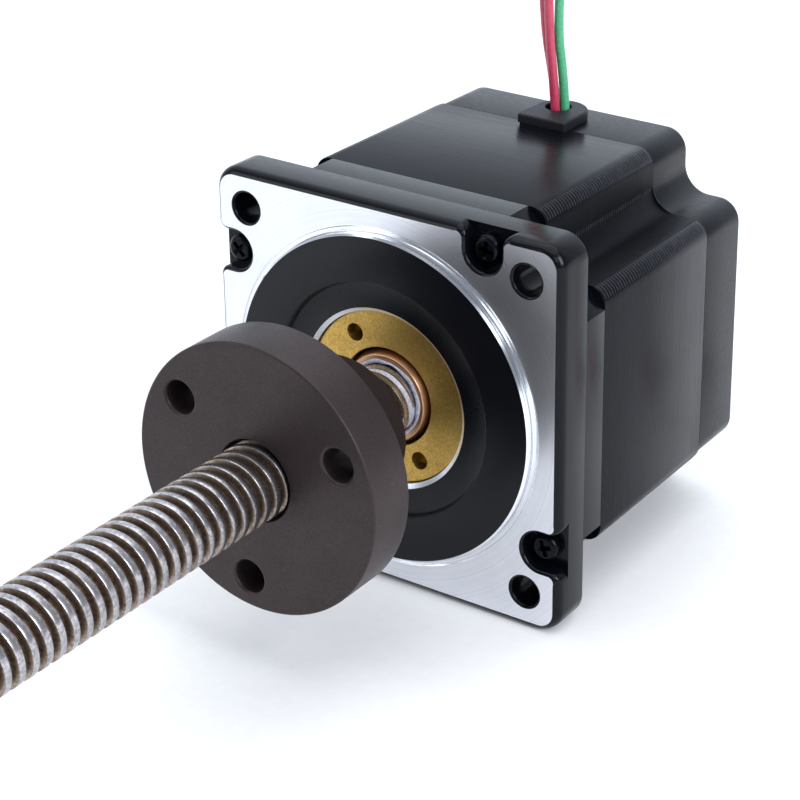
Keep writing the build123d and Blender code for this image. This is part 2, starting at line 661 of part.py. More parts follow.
# Cover screws: pan heads at the bottom of the pockets, shanks through to the rear cover
with BuildPart() as cover_screws:
    with BuildSketch(across(POCKET_FLOOR)):
        with Locations(*screw_places):
            Circle(SCREW_HEAD / 2)
    extrude(amount=SCREW_HEAD_HEIGHT)
    fillet(cover_screws.faces().group_by(Axis.Y)[0].edges(), 1.2)
    with BuildSketch(across(POCKET_FLOOR)):
        with Locations(*screw_places):
            Circle(SCREW_THREAD / 2)
    extrude(amount=-(SCREW_END - POCKET_FLOOR))
cover_screws.part.label = "cover_screws"
export_step(cover_screws.part, "parts/cover_screws.step")


# Lead grommet: a head over the joint, a neck in the rear cover's slot and the leads' hole
with BuildPart() as lead_grommet:
    with BuildSketch(Plane.XY.offset(FRAME / 2)):
        with Locations((GROMMET_X, GROMMET_REAR - GROMMET_WIDTH / 2)):
            Circle(GROMMET_WIDTH / 2)
            Rectangle(GROMMET_WIDTH, GROMMET_REAR - GROMMET_WIDTH / 2 - GROMMET_FRONT,
                      align=(Align.CENTER, Align.MAX))
    extrude(amount=GROMMET_HEIGHT)
    fillet(lead_grommet.faces().sort_by(Axis.Z)[-1].edges(), GROMMET_EDGE)
    with BuildSketch(Plane.XY.offset(FRAME / 2)):
        with Locations((GROMMET_X, GROMMET_REAR - GROMMET_WIDTH / 2)):
            Circle(GROMMET_NECK / 2)
            Rectangle(GROMMET_NECK, GROMMET_REAR - GROMMET_WIDTH / 2 - STACK_REAR,
                      align=(Align.CENTER, Align.MAX))
    extrude(amount=-(FRAME / 2 - GROMMET_BOTTOM))
    with BuildSketch(Plane.XY.offset(LEAD_START)):
        with Locations(LEAD_HOLE_AT):
            Circle(LEAD_HOLE / 2)
    extrude(amount=GROMMET_HEIGHT, mode=Mode.SUBTRACT)
lead_grommet.part.label = "lead_grommet"
export_step(lead_grommet.part, "parts/lead_grommet.step")


# Leads: three insulated wires that rise from the grommet, bend over and end on the floor
def corner_radii(points):
    """Radius at each inner point: 0.45 of the shorter run over the tangent of half the turn."""
    radii = []
    for before, here, after in zip(points, points[1:], points[2:]):
        run_in = Vector(*here) - Vector(*before)
        run_out = Vector(*after) - Vector(*here)
        half_turn = math.radians(run_in.get_angle(run_out)) / 2
        radii.append(0.45 * min(run_in.length, run_out.length) / math.tan(half_turn))
    return radii


def print_lead(name, points, radii, length, volume):
    """Show a lead's smallest radius, its length and its volume against section times length."""
    runs = [(Vector(*b) - Vector(*a)).length for a, b in zip(points, points[1:])]
    print(name, "runs", [round(run, 1) for run in runs])
    print(name, "radii", [round(radius, 1) for radius in radii])
    print(name, "length", round(length, 1), "ratio", round(volume / (length * math.pi * LEAD**2 / 4), 4))


def from_joint(points):
    """Route in the motor's frame, from points whose Y is counted from the stack's rear end."""
    return [(x, STACK_REAR + y, z) for x, y, z in points]


red_front_route = from_joint([
    (0.75, 5.4, LEAD_START),
    (0.2, 5.1, 52.0),
    (-0.9, 4.7, 64.0),
    (-1.2, 4.3, 84.0),
    (8.0, 5.1, 106.0),
    (32.0, 8.6, 117.0),
    (58.0, 12.6, 107.0),
    (76.0, 16.6, 80.0),
    (82.0, 19.6, 42.0),
    (82.0, 20.6, 4.0),
    (84.0, 28.6, -30.0),
    (86.0, 47.6, -41.8),
    (89.0, 69.6, -41.8),
])
red_back_route = from_joint([
    (-0.4, 7.9, LEAD_START),
    (-1.2, 7.2, 52.0),
    (-3.0, 6.2, 64.0),
    (-4.2, 7.2, 84.0),
    (4.0, 10.1, 108.0),
    (30.0, 13.6, 121.0),
    (59.0, 17.6, 112.0),
    (79.0, 21.6, 84.0),
    (86.0, 24.6, 45.0),
    (86.0, 25.6, 6.0),
    (88.0, 33.6, -30.0),
    (91.0, 52.6, -41.8),
    (97.0, 73.6, -41.8),
])
green_route = from_joint([
    (2.3, 6.95, LEAD_START),
    (1.6, 7.2, 52.0),
    (-0.3, 7.2, 64.0),
    (0.6, 8.4, 84.0),
    (9.0, 11.1, 101.0),
    (32.0, 15.1, 111.0),
    (56.0, 19.6, 101.0),
    (72.0, 23.6, 75.0),
    (78.0, 26.6, 39.0),
    (78.0, 28.6, 3.0),
    (79.0, 36.6, -30.0),
    (80.0, 55.6, -41.8),
    (80.0, 77.6, -41.8),
])

with BuildPart() as lead_red_front:
    with BuildLine() as red_front_line:
        FilletPolyline(*red_front_route, radius=corner_radii(red_front_route))
    with BuildSketch(Plane(origin=red_front_line.line @ 0, z_dir=red_front_line.line % 0)):
        Circle(LEAD / 2)
    sweep()
lead_red_front.part.label = "lead_red_front"
export_step(lead_red_front.part, "parts/lead_red_front.step")
print_lead("red front", red_front_route, corner_radii(red_front_route), red_front_line.wire().length,
           lead_red_front.part.volume)

with BuildPart() as lead_red_back:
    with BuildLine() as red_back_line:
        FilletPolyline(*red_back_route, radius=corner_radii(red_back_route))
    with BuildSketch(Plane(origin=red_back_line.line @ 0, z_dir=red_back_line.line % 0)):
        Circle(LEAD / 2)
    sweep()
lead_red_back.part.label = "lead_red_back"
export_step(lead_red_back.part, "parts/lead_red_back.step")
print_lead("red back", red_back_route, corner_radii(red_back_route), red_back_line.wire().length,
           lead_red_back.part.volume)

with BuildPart() as lead_green:
    with BuildLine() as green_line:
        FilletPolyline(*green_route, radius=corner_radii(green_route))
    with BuildSketch(Plane(origin=green_line.line @ 0, z_dir=green_line.line % 0)):
        Circle(LEAD / 2)
    sweep()
lead_green.part.label = "lead_green"
export_step(lead_green.part, "parts/lead_green.step")
print_lead("green", green_route, corner_radii(green_route), green_line.wire().length, lead_green.part.volume)
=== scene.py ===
"""Looks of a linear stepper motor with a lead screw and a flange nut, dressed over its CAD frame."""

import logging
import math
from dataclasses import dataclass, field
from enum import Enum

import bmesh
import bpy
from mathutils import Matrix, Vector
from mathutils.geometry import tessellate_polygon

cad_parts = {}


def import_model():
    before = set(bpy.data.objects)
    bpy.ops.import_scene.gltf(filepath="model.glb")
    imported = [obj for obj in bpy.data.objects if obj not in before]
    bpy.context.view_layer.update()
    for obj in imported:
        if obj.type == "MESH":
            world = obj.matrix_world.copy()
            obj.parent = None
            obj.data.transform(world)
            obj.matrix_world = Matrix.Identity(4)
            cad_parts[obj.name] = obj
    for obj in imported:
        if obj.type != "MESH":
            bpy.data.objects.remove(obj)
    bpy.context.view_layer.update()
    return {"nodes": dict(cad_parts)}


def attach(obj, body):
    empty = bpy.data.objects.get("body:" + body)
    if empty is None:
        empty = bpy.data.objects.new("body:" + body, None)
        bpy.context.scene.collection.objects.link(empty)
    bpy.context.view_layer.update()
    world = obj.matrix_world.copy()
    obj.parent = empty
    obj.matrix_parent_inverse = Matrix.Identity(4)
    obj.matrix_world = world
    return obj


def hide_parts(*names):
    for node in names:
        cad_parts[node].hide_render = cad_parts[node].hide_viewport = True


log = logging.getLogger("stepper_motor")

MM = 0.001
SMOOTH_BELOW = math.radians(32)

Point = tuple[float, float]
Place = tuple[float, float, float]
Profile = list[Point]
Wave = tuple[float, int, float]

# Cosine and sine of the four quarter turns about the shaft
QUARTER_TURNS = ((1, 0), (0, 1), (-1, 0), (0, -1))
# Place of the first cover screw across the motor, in millimetres
SCREW_PLACE = (24.2, 38.4)
# Distance between neighbouring grooves of the screw's thread, in millimetres
THREAD_PITCH = 3.175


def linear(code: str) -> tuple[float, float, float, float]:
    """Turn an sRGB hex colour into linear RGBA.

    Args:
        code: Six hex digits with a leading hash.

    Returns:
        The four linear channel values.
    """
    values = [int(code[i : i + 2], 16) / 255 for i in (1, 3, 5)]
    spread = [v / 12.92 if v <= 0.04045 else ((v + 0.055) / 1.055) ** 2.4 for v in values]
    return (spread[0], spread[1], spread[2], 1.0)


class Grain(Enum):
    """The ways a surface's fine pattern can lie."""

    SPECKLE = "speckle"
    TURNED = "turned"
    ACROSS = "across"


@dataclass(frozen=True)
class Finish:
    """One real material and the way its surface was made.

    Attributes:
        name: Plain name of the material and its finish.
        dark: Colour of the pattern's low places.
        light: Colour of the pattern's high places.
        metallic: Metallic value of the shader.
        rough_low: Least roughness over the pattern.
        rough_high: Greatest roughness over the pattern.
        grain: How the fine pattern lies.
        size_mm: Spacing of the fine pattern.
        depth_mm: Height of the fine pattern.
        coat: Weight of a clear coat.
        patch_mm: Spacing of the broad, faint unevenness.
        specular: Specular level of the shader.
    """

    name: str
    dark: str
    light: str
    metallic: float
    rough_low: float
    rough_high: float
    grain: Grain = Grain.SPECKLE
    size_mm: float = 0.5
    depth_mm: float = 0.01
    coat: float = 0.0
    patch_mm: float = 14.0
    specular: float = 0.5


def add_node(tree: bpy.types.NodeTree, kind: str, sockets: dict | None = None,
             **settings: str) -> bpy.types.Node:
    """Add a node with its input values or links, and its settings.

    Args:
        tree: Node tree that gets the node.
        kind: The node's type name.
        sockets: Input sockets by name or number, each with a value or an output to link.
        **settings: Properties of the node by name.

    Returns:
        The new node.
    """
    node = tree.nodes.new(kind)
    for key, value in settings.items():
        setattr(node, key, value)
    for key, value in (sockets or {}).items():
        if isinstance(value, bpy.types.NodeSocket):
            tree.links.new(value, node.inputs[key])
        else:
            node.inputs[key].default_value = value
    return node


# How much further a sheet's pattern runs sideways than along the shaft
SHEET_STRETCH = 60
# Roughness of every clear coat
COAT_ROUGHNESS = 0.06
# Share of the broad unevenness in a finish's pattern
PATCH_SHARE = 0.35
# Part of the noise's range that the two colours are spread over
NOISE_RANGE = (0.34, 0.66)


def grain_vector(tree: bpy.types.NodeTree, finish: Finish) -> bpy.types.NodeSocket:
    """Make the coordinates that the fine pattern is read at.

    Args:
        tree: The material's node tree.
        finish: The finish that names the grain and its spacing.

    Returns:
        A vector socket, one unit long per spacing of the pattern.
    """
    source = add_node(tree, "ShaderNodeTexCoord").outputs["Object"]
    per_metre = 1.0 / (finish.size_mm * MM)
    # Sheets lie across the shaft, so their pattern is drawn out sideways
    sideways = per_metre / SHEET_STRETCH if finish.grain is Grain.ACROSS else per_metre
    if finish.grain is Grain.TURNED:
        # Rings about the shaft, read at the distance from it alone
        apart = add_node(tree, "ShaderNodeSeparateXYZ", {0: source})
        flat = add_node(tree, "ShaderNodeCombineXYZ", {0: apart.outputs[0], 1: apart.outputs[2]})
        reach = add_node(tree, "ShaderNodeVectorMath", {0: flat.outputs[0]}, operation="LENGTH")
        source = add_node(tree, "ShaderNodeCombineXYZ", {0: reach.outputs["Value"]}).outputs[0]
    return add_node(tree, "ShaderNodeMapping", {
        0: source, "Scale": (sideways, per_metre, sideways)}).outputs[0]


def make_material(finish: Finish) -> bpy.types.Material:
    """Build the node material of a finish.

    Args:
        finish: The finish to build.

    Returns:
        The material, ready for a mesh.
    """
    material = bpy.data.materials.new(finish.name)
    material.use_nodes = True
    tree = material.node_tree
    shader = tree.nodes["Principled BSDF"]
    shader.inputs["Metallic"].default_value = finish.metallic
    shader.inputs["Specular IOR Level"].default_value = finish.specular
    shader.inputs["Coat Weight"].default_value = finish.coat
    shader.inputs["Coat Roughness"].default_value = COAT_ROUGHNESS
    fine = add_node(tree, "ShaderNodeTexNoise", {
        "Vector": grain_vector(tree, finish), "Scale": 1.0, "Detail": 3.0, "Roughness": 0.55})
    place = add_node(tree, "ShaderNodeTexCoord").outputs["Object"]
    broad = add_node(tree, "ShaderNodeTexNoise", {
        "Vector": place, "Scale": 1.0 / (finish.patch_mm * MM), "Detail": 4.0, "Roughness": 0.6})
    blend = add_node(tree, "ShaderNodeMix", {
        0: PATCH_SHARE, 2: fine.outputs[0], 3: broad.outputs[0]}, data_type="FLOAT")
    # The noise seldom leaves the middle of its range, so that part is spread over the whole
    low, high = NOISE_RANGE
    spread = add_node(tree, "ShaderNodeMapRange", {
        0: blend.outputs[0], 1: low, 2: high, 3: 0.0, 4: 1.0})
    ramp = add_node(tree, "ShaderNodeValToRGB", {0: spread.outputs[0]})
    ramp.color_ramp.elements[0].color = linear(finish.dark)
    ramp.color_ramp.elements[1].color = linear(finish.light)
    tree.links.new(ramp.outputs[0], shader.inputs["Base Color"])
    rough = add_node(tree, "ShaderNodeMapRange", {
        0: spread.outputs[0], 3: finish.rough_high, 4: finish.rough_low})
    tree.links.new(rough.outputs[0], shader.inputs["Roughness"])
    bump = add_node(tree, "ShaderNodeBump", {
        "Strength": 1.0, "Distance": finish.depth_mm * MM, "Height": fine.outputs[0]})
    tree.links.new(bump.outputs[0], shader.inputs["Normal"])
    return material


# Gloss enamel over the die casting: near black, mirror-like with a faint orange peel
GLOSS_ENAMEL = Finish("gloss_black_enamel_die_casting", "#05060b", "#090b12", 0.0, 0.14, 0.24,
                      size_mm=1.6, depth_mm=0.012, specular=0.17)
# Milled aluminium face: pale silver with faint concentric cutter rings
MILLED_ALUMINIUM = Finish("milled_aluminium", "#d8dbe1", "#eceef4", 1.0, 0.27, 0.33,
                          grain=Grain.TURNED, size_mm=0.45, depth_mm=0.0006)
# Fine-turned ridges and chamfer round the pilot: the same aluminium, cut brighter
BRIGHT_ALUMINIUM = Finish("fine_turned_aluminium", "#e2e5ea", "#f6f7fb", 1.0, 0.13, 0.18,
                          grain=Grain.TURNED, size_mm=0.3, depth_mm=0.0002)
# Dull black paint inside the pilot ring: greyer and softer than the enamel
DULL_PAINT = Finish("dull_black_paint", "#03040a", "#06080f", 0.0, 0.26, 0.38, size_mm=0.4,
                    depth_mm=0.006, specular=0.26)
# Stack edges: thin black paint over the sheets, with each sheet's edge just showing
PAINTED_SHEETS = Finish("black_painted_laminations", "#07080d", "#101118", 0.0, 0.22, 0.30,
                        grain=Grain.ACROSS, size_mm=0.5, depth_mm=0.003, specular=0.13)
# Painted shade in the stack's notches: the same paint, darker and duller there than on the open sides
NOTCH_PAINTED_SHADE = Finish("painted_shade_in_notches", "#05060a", "#0b0c12", 0.0, 0.38, 0.5,
                     grain=Grain.ACROSS, size_mm=0.5, depth_mm=0.003, specular=0.07)
# Corner ribs of the stack: the same paint, worn to dark steel on their tops
WORN_RIB = Finish("worn_black_paint_on_steel", "#101116", "#34353c", 0.4, 0.36, 0.55, size_mm=0.9,
                  depth_mm=0.02, patch_mm=2.2, specular=0.35)
# Satin black enamel of the rear cover
SATIN_ENAMEL = Finish("satin_black_enamel", "#07080d", "#0f1118", 0.0, 0.26, 0.38, size_mm=1.1,
                      depth_mm=0.01, specular=0.32)
# Tumbled brass: soft golden yellow with fine freckles, dulled a little by handling
TUMBLED_BRASS = Finish("tumbled_brass", "#b08d46", "#dcb868", 1.0, 0.34, 0.46, size_mm=0.5,
                       depth_mm=0.012, patch_mm=5.0)
# Turned bronze, redder and softer than the brass
TURNED_BRONZE = Finish("turned_bronze", "#a0765a", "#d2ab8a", 1.0, 0.26, 0.38, grain=Grain.TURNED,
                       size_mm=0.3, depth_mm=0.006)
# Rolled thread crests: burnished bright steel under a trace of oil
ROLLED_STEEL = Finish("rolled_oiled_steel", "#7f7c7f", "#c5c3c6", 1.0, 0.22, 0.36, size_mm=0.7,
                      depth_mm=0.008, patch_mm=3.0)
# Thread flanks and roots: the same steel, browned by old grease
GREASED_STEEL = Finish("greased_brown_steel", "#65574d", "#ad9e91", 1.0, 0.30, 0.48, size_mm=0.8,
                       depth_mm=0.01, patch_mm=5.0)
# Phosphated nut: dark brown grey with a fine crystalline, low sheen
PHOSPHATED_STEEL = Finish("phosphated_steel", "#281f20", "#3a2f2f", 0.5, 0.38, 0.5, size_mm=0.35,
                          depth_mm=0.008)
# Black oxide on the cover screws: blue black and a little glossy
BLACK_OXIDE = Finish("black_oxide_steel", "#0c0d12", "#1c1e26", 0.9, 0.20, 0.34, size_mm=0.3,
                     depth_mm=0.004)
# Ground bearing steel: bright and nearly mirror-like
BEARING_STEEL = Finish("ground_bearing_steel", "#a9adb3", "#d9dce0", 1.0, 0.08, 0.18,
                       grain=Grain.TURNED, size_mm=0.2, depth_mm=0.001)
# Pressed cage strip: softer, whitish steel
CAGE_STRIP = Finish("pressed_cage_steel", "#84868a", "#b0b2b6", 1.0, 0.28, 0.42, size_mm=0.5,
                    depth_mm=0.004)
# Ground rotor cups: grey steel with marks across the teeth
ROTOR_STEEL = Finish("ground_rotor_steel", "#73767b", "#a7aaae", 1.0, 0.24, 0.38,
                     grain=Grain.ACROSS, size_mm=0.3, depth_mm=0.004)
# Sintered magnet: dark and matt
SINTERED_MAGNET = Finish("sintered_magnet", "#34363a", "#4a4c50", 0.6, 0.45, 0.6, size_mm=0.25,
                         depth_mm=0.006)
# Blued spring steel
BLUED_STEEL = Finish("blued_spring_steel", "#232a38", "#475064", 1.0, 0.22, 0.36, size_mm=0.6,
                     depth_mm=0.003)
# Enamelled copper winding wire: clear varnish over orange copper
VARNISHED_COPPER = Finish("varnished_copper_wire", "#8f3f1c", "#c9713c", 1.0, 0.2, 0.34,
                          size_mm=0.6, depth_mm=0.01, coat=0.5)
# Moulded nylon insulators: off white, waxy
MOULDED_NYLON = Finish("moulded_nylon", "#cfcbbd", "#e4e0d4", 0.0, 0.38, 0.5, size_mm=0.4,
                       depth_mm=0.006)
# Moulded rubber grommet: dark grey, matt and dusty on its edges
MOULDED_RUBBER = Finish("moulded_rubber", "#101116", "#1b1d24", 0.0, 0.42, 0.58, size_mm=0.35,
                        depth_mm=0.012, specular=0.3)
# Extruded wire insulation: smooth and softly glossy
RED_INSULATION = Finish("red_wire_insulation", "#ae2c4a", "#c6425f", 0.0, 0.28, 0.38, size_mm=0.7,
                        depth_mm=0.006, coat=0.15)
GREEN_INSULATION = Finish("green_wire_insulation", "#389a68", "#52b583", 0.0, 0.28, 0.38,
                          size_mm=0.7, depth_mm=0.006, coat=0.15)
# Old grease round the screw: pale lilac grey, wet and lumpy
PALE_GREASE = Finish("pale_grease", "#8f8f9a", "#cfcfdc", 0.0, 0.18, 0.4, size_mm=0.5,
                     depth_mm=0.12, patch_mm=3.0)
# Backdrop paper under the motor: matt and nearly white, so only its soft shadow shows
FLOOR_PAPER = Finish("pale_paper", "#f1f1f2", "#f5f5f6", 0.0, 0.7, 0.8, size_mm=2.0, depth_mm=0.0)

_made: dict[str, bpy.types.Material] = {}


def material_of(finish: Finish) -> bpy.types.Material:
    """Give the one material of a finish, made on its first use.

    Args:
        finish: The finish.

    Returns:
        Its material.
    """
    if finish.name not in _made:
        _made[finish.name] = make_material(finish)
    return _made[finish.name]


def add_object(name: str, data: bpy.types.ID) -> bpy.types.Object:
    """Add an object with its data to the scene.

    Args:
        name: Name of the object.
        data: Its mesh, curve, light or camera.

    Returns:
        The object, at the origin.
    """
    added = bpy.data.objects.new(name, data)
    bpy.context.scene.collection.objects.link(added)
    return added


@dataclass
class Edge:
    """A closed outline with its outward direction and the rounding of its rim at each point.

    Attributes:
        points: Places across the motor in millimetres, X and Z.
        outward: Unit directions that leave the material.
        rims: Radius of the rim's rounding at each point.
    """

    points: Profile = field(default_factory=list)
    outward: Profile = field(default_factory=list)
    rims: list[float] = field(default_factory=list)

    def arc(self, centre: Point, radius: float, start: float, stop: float, rim: Point,
            hollow: bool = False, steps: int = 10) -> None:
        """Add an arc; straight runs join the end of one arc to the start of the next.

        Args:
            centre: Middle of the arc.
            radius: Its radius.
            start: First angle in degrees.
            stop: Last angle in degrees.
            rim: Rim radius at the first and the last point.
            hollow: True where the material lies outside the circle.
            steps: Number of divisions.
        """
        for i in range(steps + 1):
            part = i / steps
            angle = math.radians(start + (stop - start) * part)
            ray = (math.cos(angle), math.sin(angle))
            sign = -1.0 if hollow else 1.0
            self.points.append((centre[0] + radius * ray[0], centre[1] + radius * ray[1]))
            self.outward.append((sign * ray[0], sign * ray[1]))
            self.rims.append(rim[0] + (rim[1] - rim[0]) * part)

    def four_times(self) -> "Edge":
        """Repeat the outline at four quarter turns about the shaft.

        Returns:
            The whole outline.
        """
        whole = Edge()
        for cos, sin in QUARTER_TURNS:
            for (x, z), (nx, nz), rim in zip(self.points, self.outward, self.rims):
                whole.points.append((x * cos - z * sin, x * sin + z * cos))
                whole.outward.append((nx * cos - nz * sin, nx * sin + nz * cos))
                whole.rims.append(rim)
        return whole

    def rounded(self, share: float, cut: float) -> tuple[Profile, list[float]]:
        """Give one row of the rim's rounding, which the front face may cut short.

        Args:
            share: 0 at the front face, 1 at the wall.
            cut: Angle at which the face cuts the widest rounding, in radians; 0 for a full one.

        Returns:
            The row's points and their depths below the front face.
        """
        points, drops = [], []
        for (x, z), (nx, nz), rim in zip(self.points, self.outward, self.rims):
            first = cut * rim / max(self.rims)
            turn = first + (math.pi / 2 - first) * share
            radius = rim / (1 - math.sin(first))
            move = radius * (1 - math.sin(turn))
            points.append((x - nx * move, z - nz * move))
            drops.append(radius * (math.cos(first) - math.cos(turn)))
        return points, drops

    def inset(self, part: float) -> Profile:
        """Give the outline moved into the material by a part of each point's rim radius."""
        return [(x - nx * rim * part, z - nz * rim * part)
                for (x, z), (nx, nz), rim in zip(self.points, self.outward, self.rims)]


def ring_edge(radius: float, rim: float, hollow: bool, centre: Point = (0.0, 0.0),
              steps: int = 64) -> Edge:
    """Make a full circle as an outline.

    Args:
        radius: Radius of the circle.
        rim: Radius of the rounding at its rim.
        hollow: True for a hole.
        centre: Middle of the circle.
        steps: Number of points.

    Returns:
        The outline, its last point short of its first.
    """
    edge = Edge()
    edge.arc(centre, radius, 0, 360 * (steps - 1) / steps, (rim, rim), hollow, steps - 1)
    return edge


class Shell:
    """Builds one finished mesh out of closed shells, in millimetres across the motor."""

    def __init__(self) -> None:
        """Start an empty mesh."""
        self.mesh = bmesh.new()

    def loop(self, points: Profile, depths: list[float]) -> list[bmesh.types.BMVert]:
        """Add one closed row of vertices."""
        return [self.mesh.verts.new((x * MM, y * MM, z * MM)) for (x, z), y in zip(points, depths)]

    def skin(self, first: list, second: list, slot: int) -> None:
        """Join two closed rows of vertices with quads, or with triangles to a single point.

        Args:
            first: One row.
            second: The next row, of the same length or a single point.
            slot: Material slot of the faces.
        """
        count = max(len(first), len(second))
        if len(first) == len(second) == 1:
            return
        for i in range(count):
            j = (i + 1) % count
            if len(first) == 1:
                corners = (first[0], second[j], second[i])
            elif len(second) == 1:
                corners = (first[i], first[j], second[0])
            else:
                corners = (first[i], first[j], second[j], second[i])
            face = self.mesh.faces.new(corners)
            face.material_index = slot
            face.smooth = True

    def cap(self, outer: list, holes: list[list], slot: int) -> None:
        """Fill the flat face between an outer row and the rows of its holes.

        Args:
            outer: Outer row of vertices.
            holes: Rows of the holes.
            slot: Material slot of the face.
        """
        rows = [outer] + holes
        flat = [vert for row in rows for vert in row]
        for corners in tessellate_polygon([[vert.co for vert in row] for row in rows]):
            face = self.mesh.faces.new([flat[i] for i in corners])
            face.material_index = slot
            face.smooth = False

    def plate(self, outer: Edge, holes: list[Edge], front: float, back: float,
              slots: tuple[int, int] = (0, 0), back_rims: list[float] | None = None,
              steps: int = 6, cut: float = 0.0) -> None:
        """Add a plate across the motor, its front rims rounded as its outlines say.

        Args:
            outer: Outer outline.
            holes: Outlines of the holes.
            front: Depth of the front face.
            back: Depth of the back face.
            slots: Material slots of the front face, and of the rims, walls and back.
            back_rims: Radius of the outer outline's rounding at the back, over its points in turn.
            steps: Divisions of a rounding.
            cut: Angle at which the front face cuts the outer outline's rounding, in radians.
        """
        fronts, backs = [], []
        for edge in [outer] + holes:
            count = len(edge.points)
            rows = []
            if max(edge.rims) > 0:
                for i in range(steps + 1):
                    points, drops = edge.rounded(i / steps, cut if edge is outer else 0.0)
                    rows.append(self.loop(points, [front + drop for drop in drops]))
            else:
                rows.append(self.loop(edge.points, [front] * count))
            if back_rims and edge is outer:
                spread = [back_rims[i % len(back_rims)] for i in range(count)]
                scaled = Edge(edge.points, edge.outward, spread)
                for i in range(steps + 1):
                    turn = math.pi / 2 * i / steps
                    depths = [back - rim * (1 - math.sin(turn)) for rim in spread]
                    rows.append(self.loop(scaled.inset(1 - math.cos(turn)), depths))
            else:
                rows.append(self.loop(edge.points, [back] * count))
            for first, second in zip(rows, rows[1:]):
                self.skin(first, second, slots[1])
            fronts.append(rows[0])
            backs.append(rows[-1])
        self.cap(fronts[0], fronts[1:], slots[0])
        self.cap(backs[0], backs[1:], slots[1])

    def lathe(self, profile: Profile, slots: list[int], steps: int = 128,
              closed: bool = True) -> None:
        """Turn a profile about the shaft.

        Args:
            profile: Radius and depth of each point; a radius of zero closes an end.
            slots: Material slot of each run, from each point to the next, over the runs in turn.
            steps: Number of divisions round the shaft.
            closed: Whether the last point joins the first.
        """
        rows = []
        for radius, depth in profile:
            count = steps if radius > 0 else 1
            turns = [2 * math.pi * i / count for i in range(count)]
            ring = [(radius * math.cos(turn), radius * math.sin(turn)) for turn in turns]
            rows.append(self.loop(ring, [depth] * count))
        after = rows[1:] + rows[:1] if closed else rows[1:]
        for number, (first, second) in enumerate(zip(rows, after)):
            self.skin(first, second, slots[number % len(slots)])

    def finish(self, name: str, finishes: list[Finish]) -> bpy.types.Object:
        """Close, orient and shade the mesh and make its object.

        Args:
            name: Name of the piece.
            finishes: Finish of each material slot.

        Returns:
            The piece, at the origin.
        """
        bmesh.ops.recalc_face_normals(self.mesh, faces=self.mesh.faces)
        for edge in self.mesh.edges:
            faces = edge.link_faces
            if len(faces) == 2:
                bend = faces[0].normal.angle(faces[1].normal, 0.0)
                edge.smooth = bend < SMOOTH_BELOW and faces[0].smooth == faces[1].smooth
        data = bpy.data.meshes.new(name)
        self.mesh.to_mesh(data)
        self.mesh.free()
        for finish in finishes:
            data.materials.append(material_of(finish))
        return add_object(name, data)


def settle(piece: bpy.types.Object, body: str, nodes: tuple[str, ...] = ()) -> None:
    """Let a piece ride on its body and stand for its CAD nodes.

    Args:
        piece: The finished piece.
        body: Body that it moves with.
        nodes: CAD nodes that it replaces.
    """
    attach(piece, body)
    if nodes:
        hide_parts(*nodes)
    log.info("%s on %s: %d faces", piece.name, body,
             len(piece.data.polygons) if piece.type == "MESH" else 0)


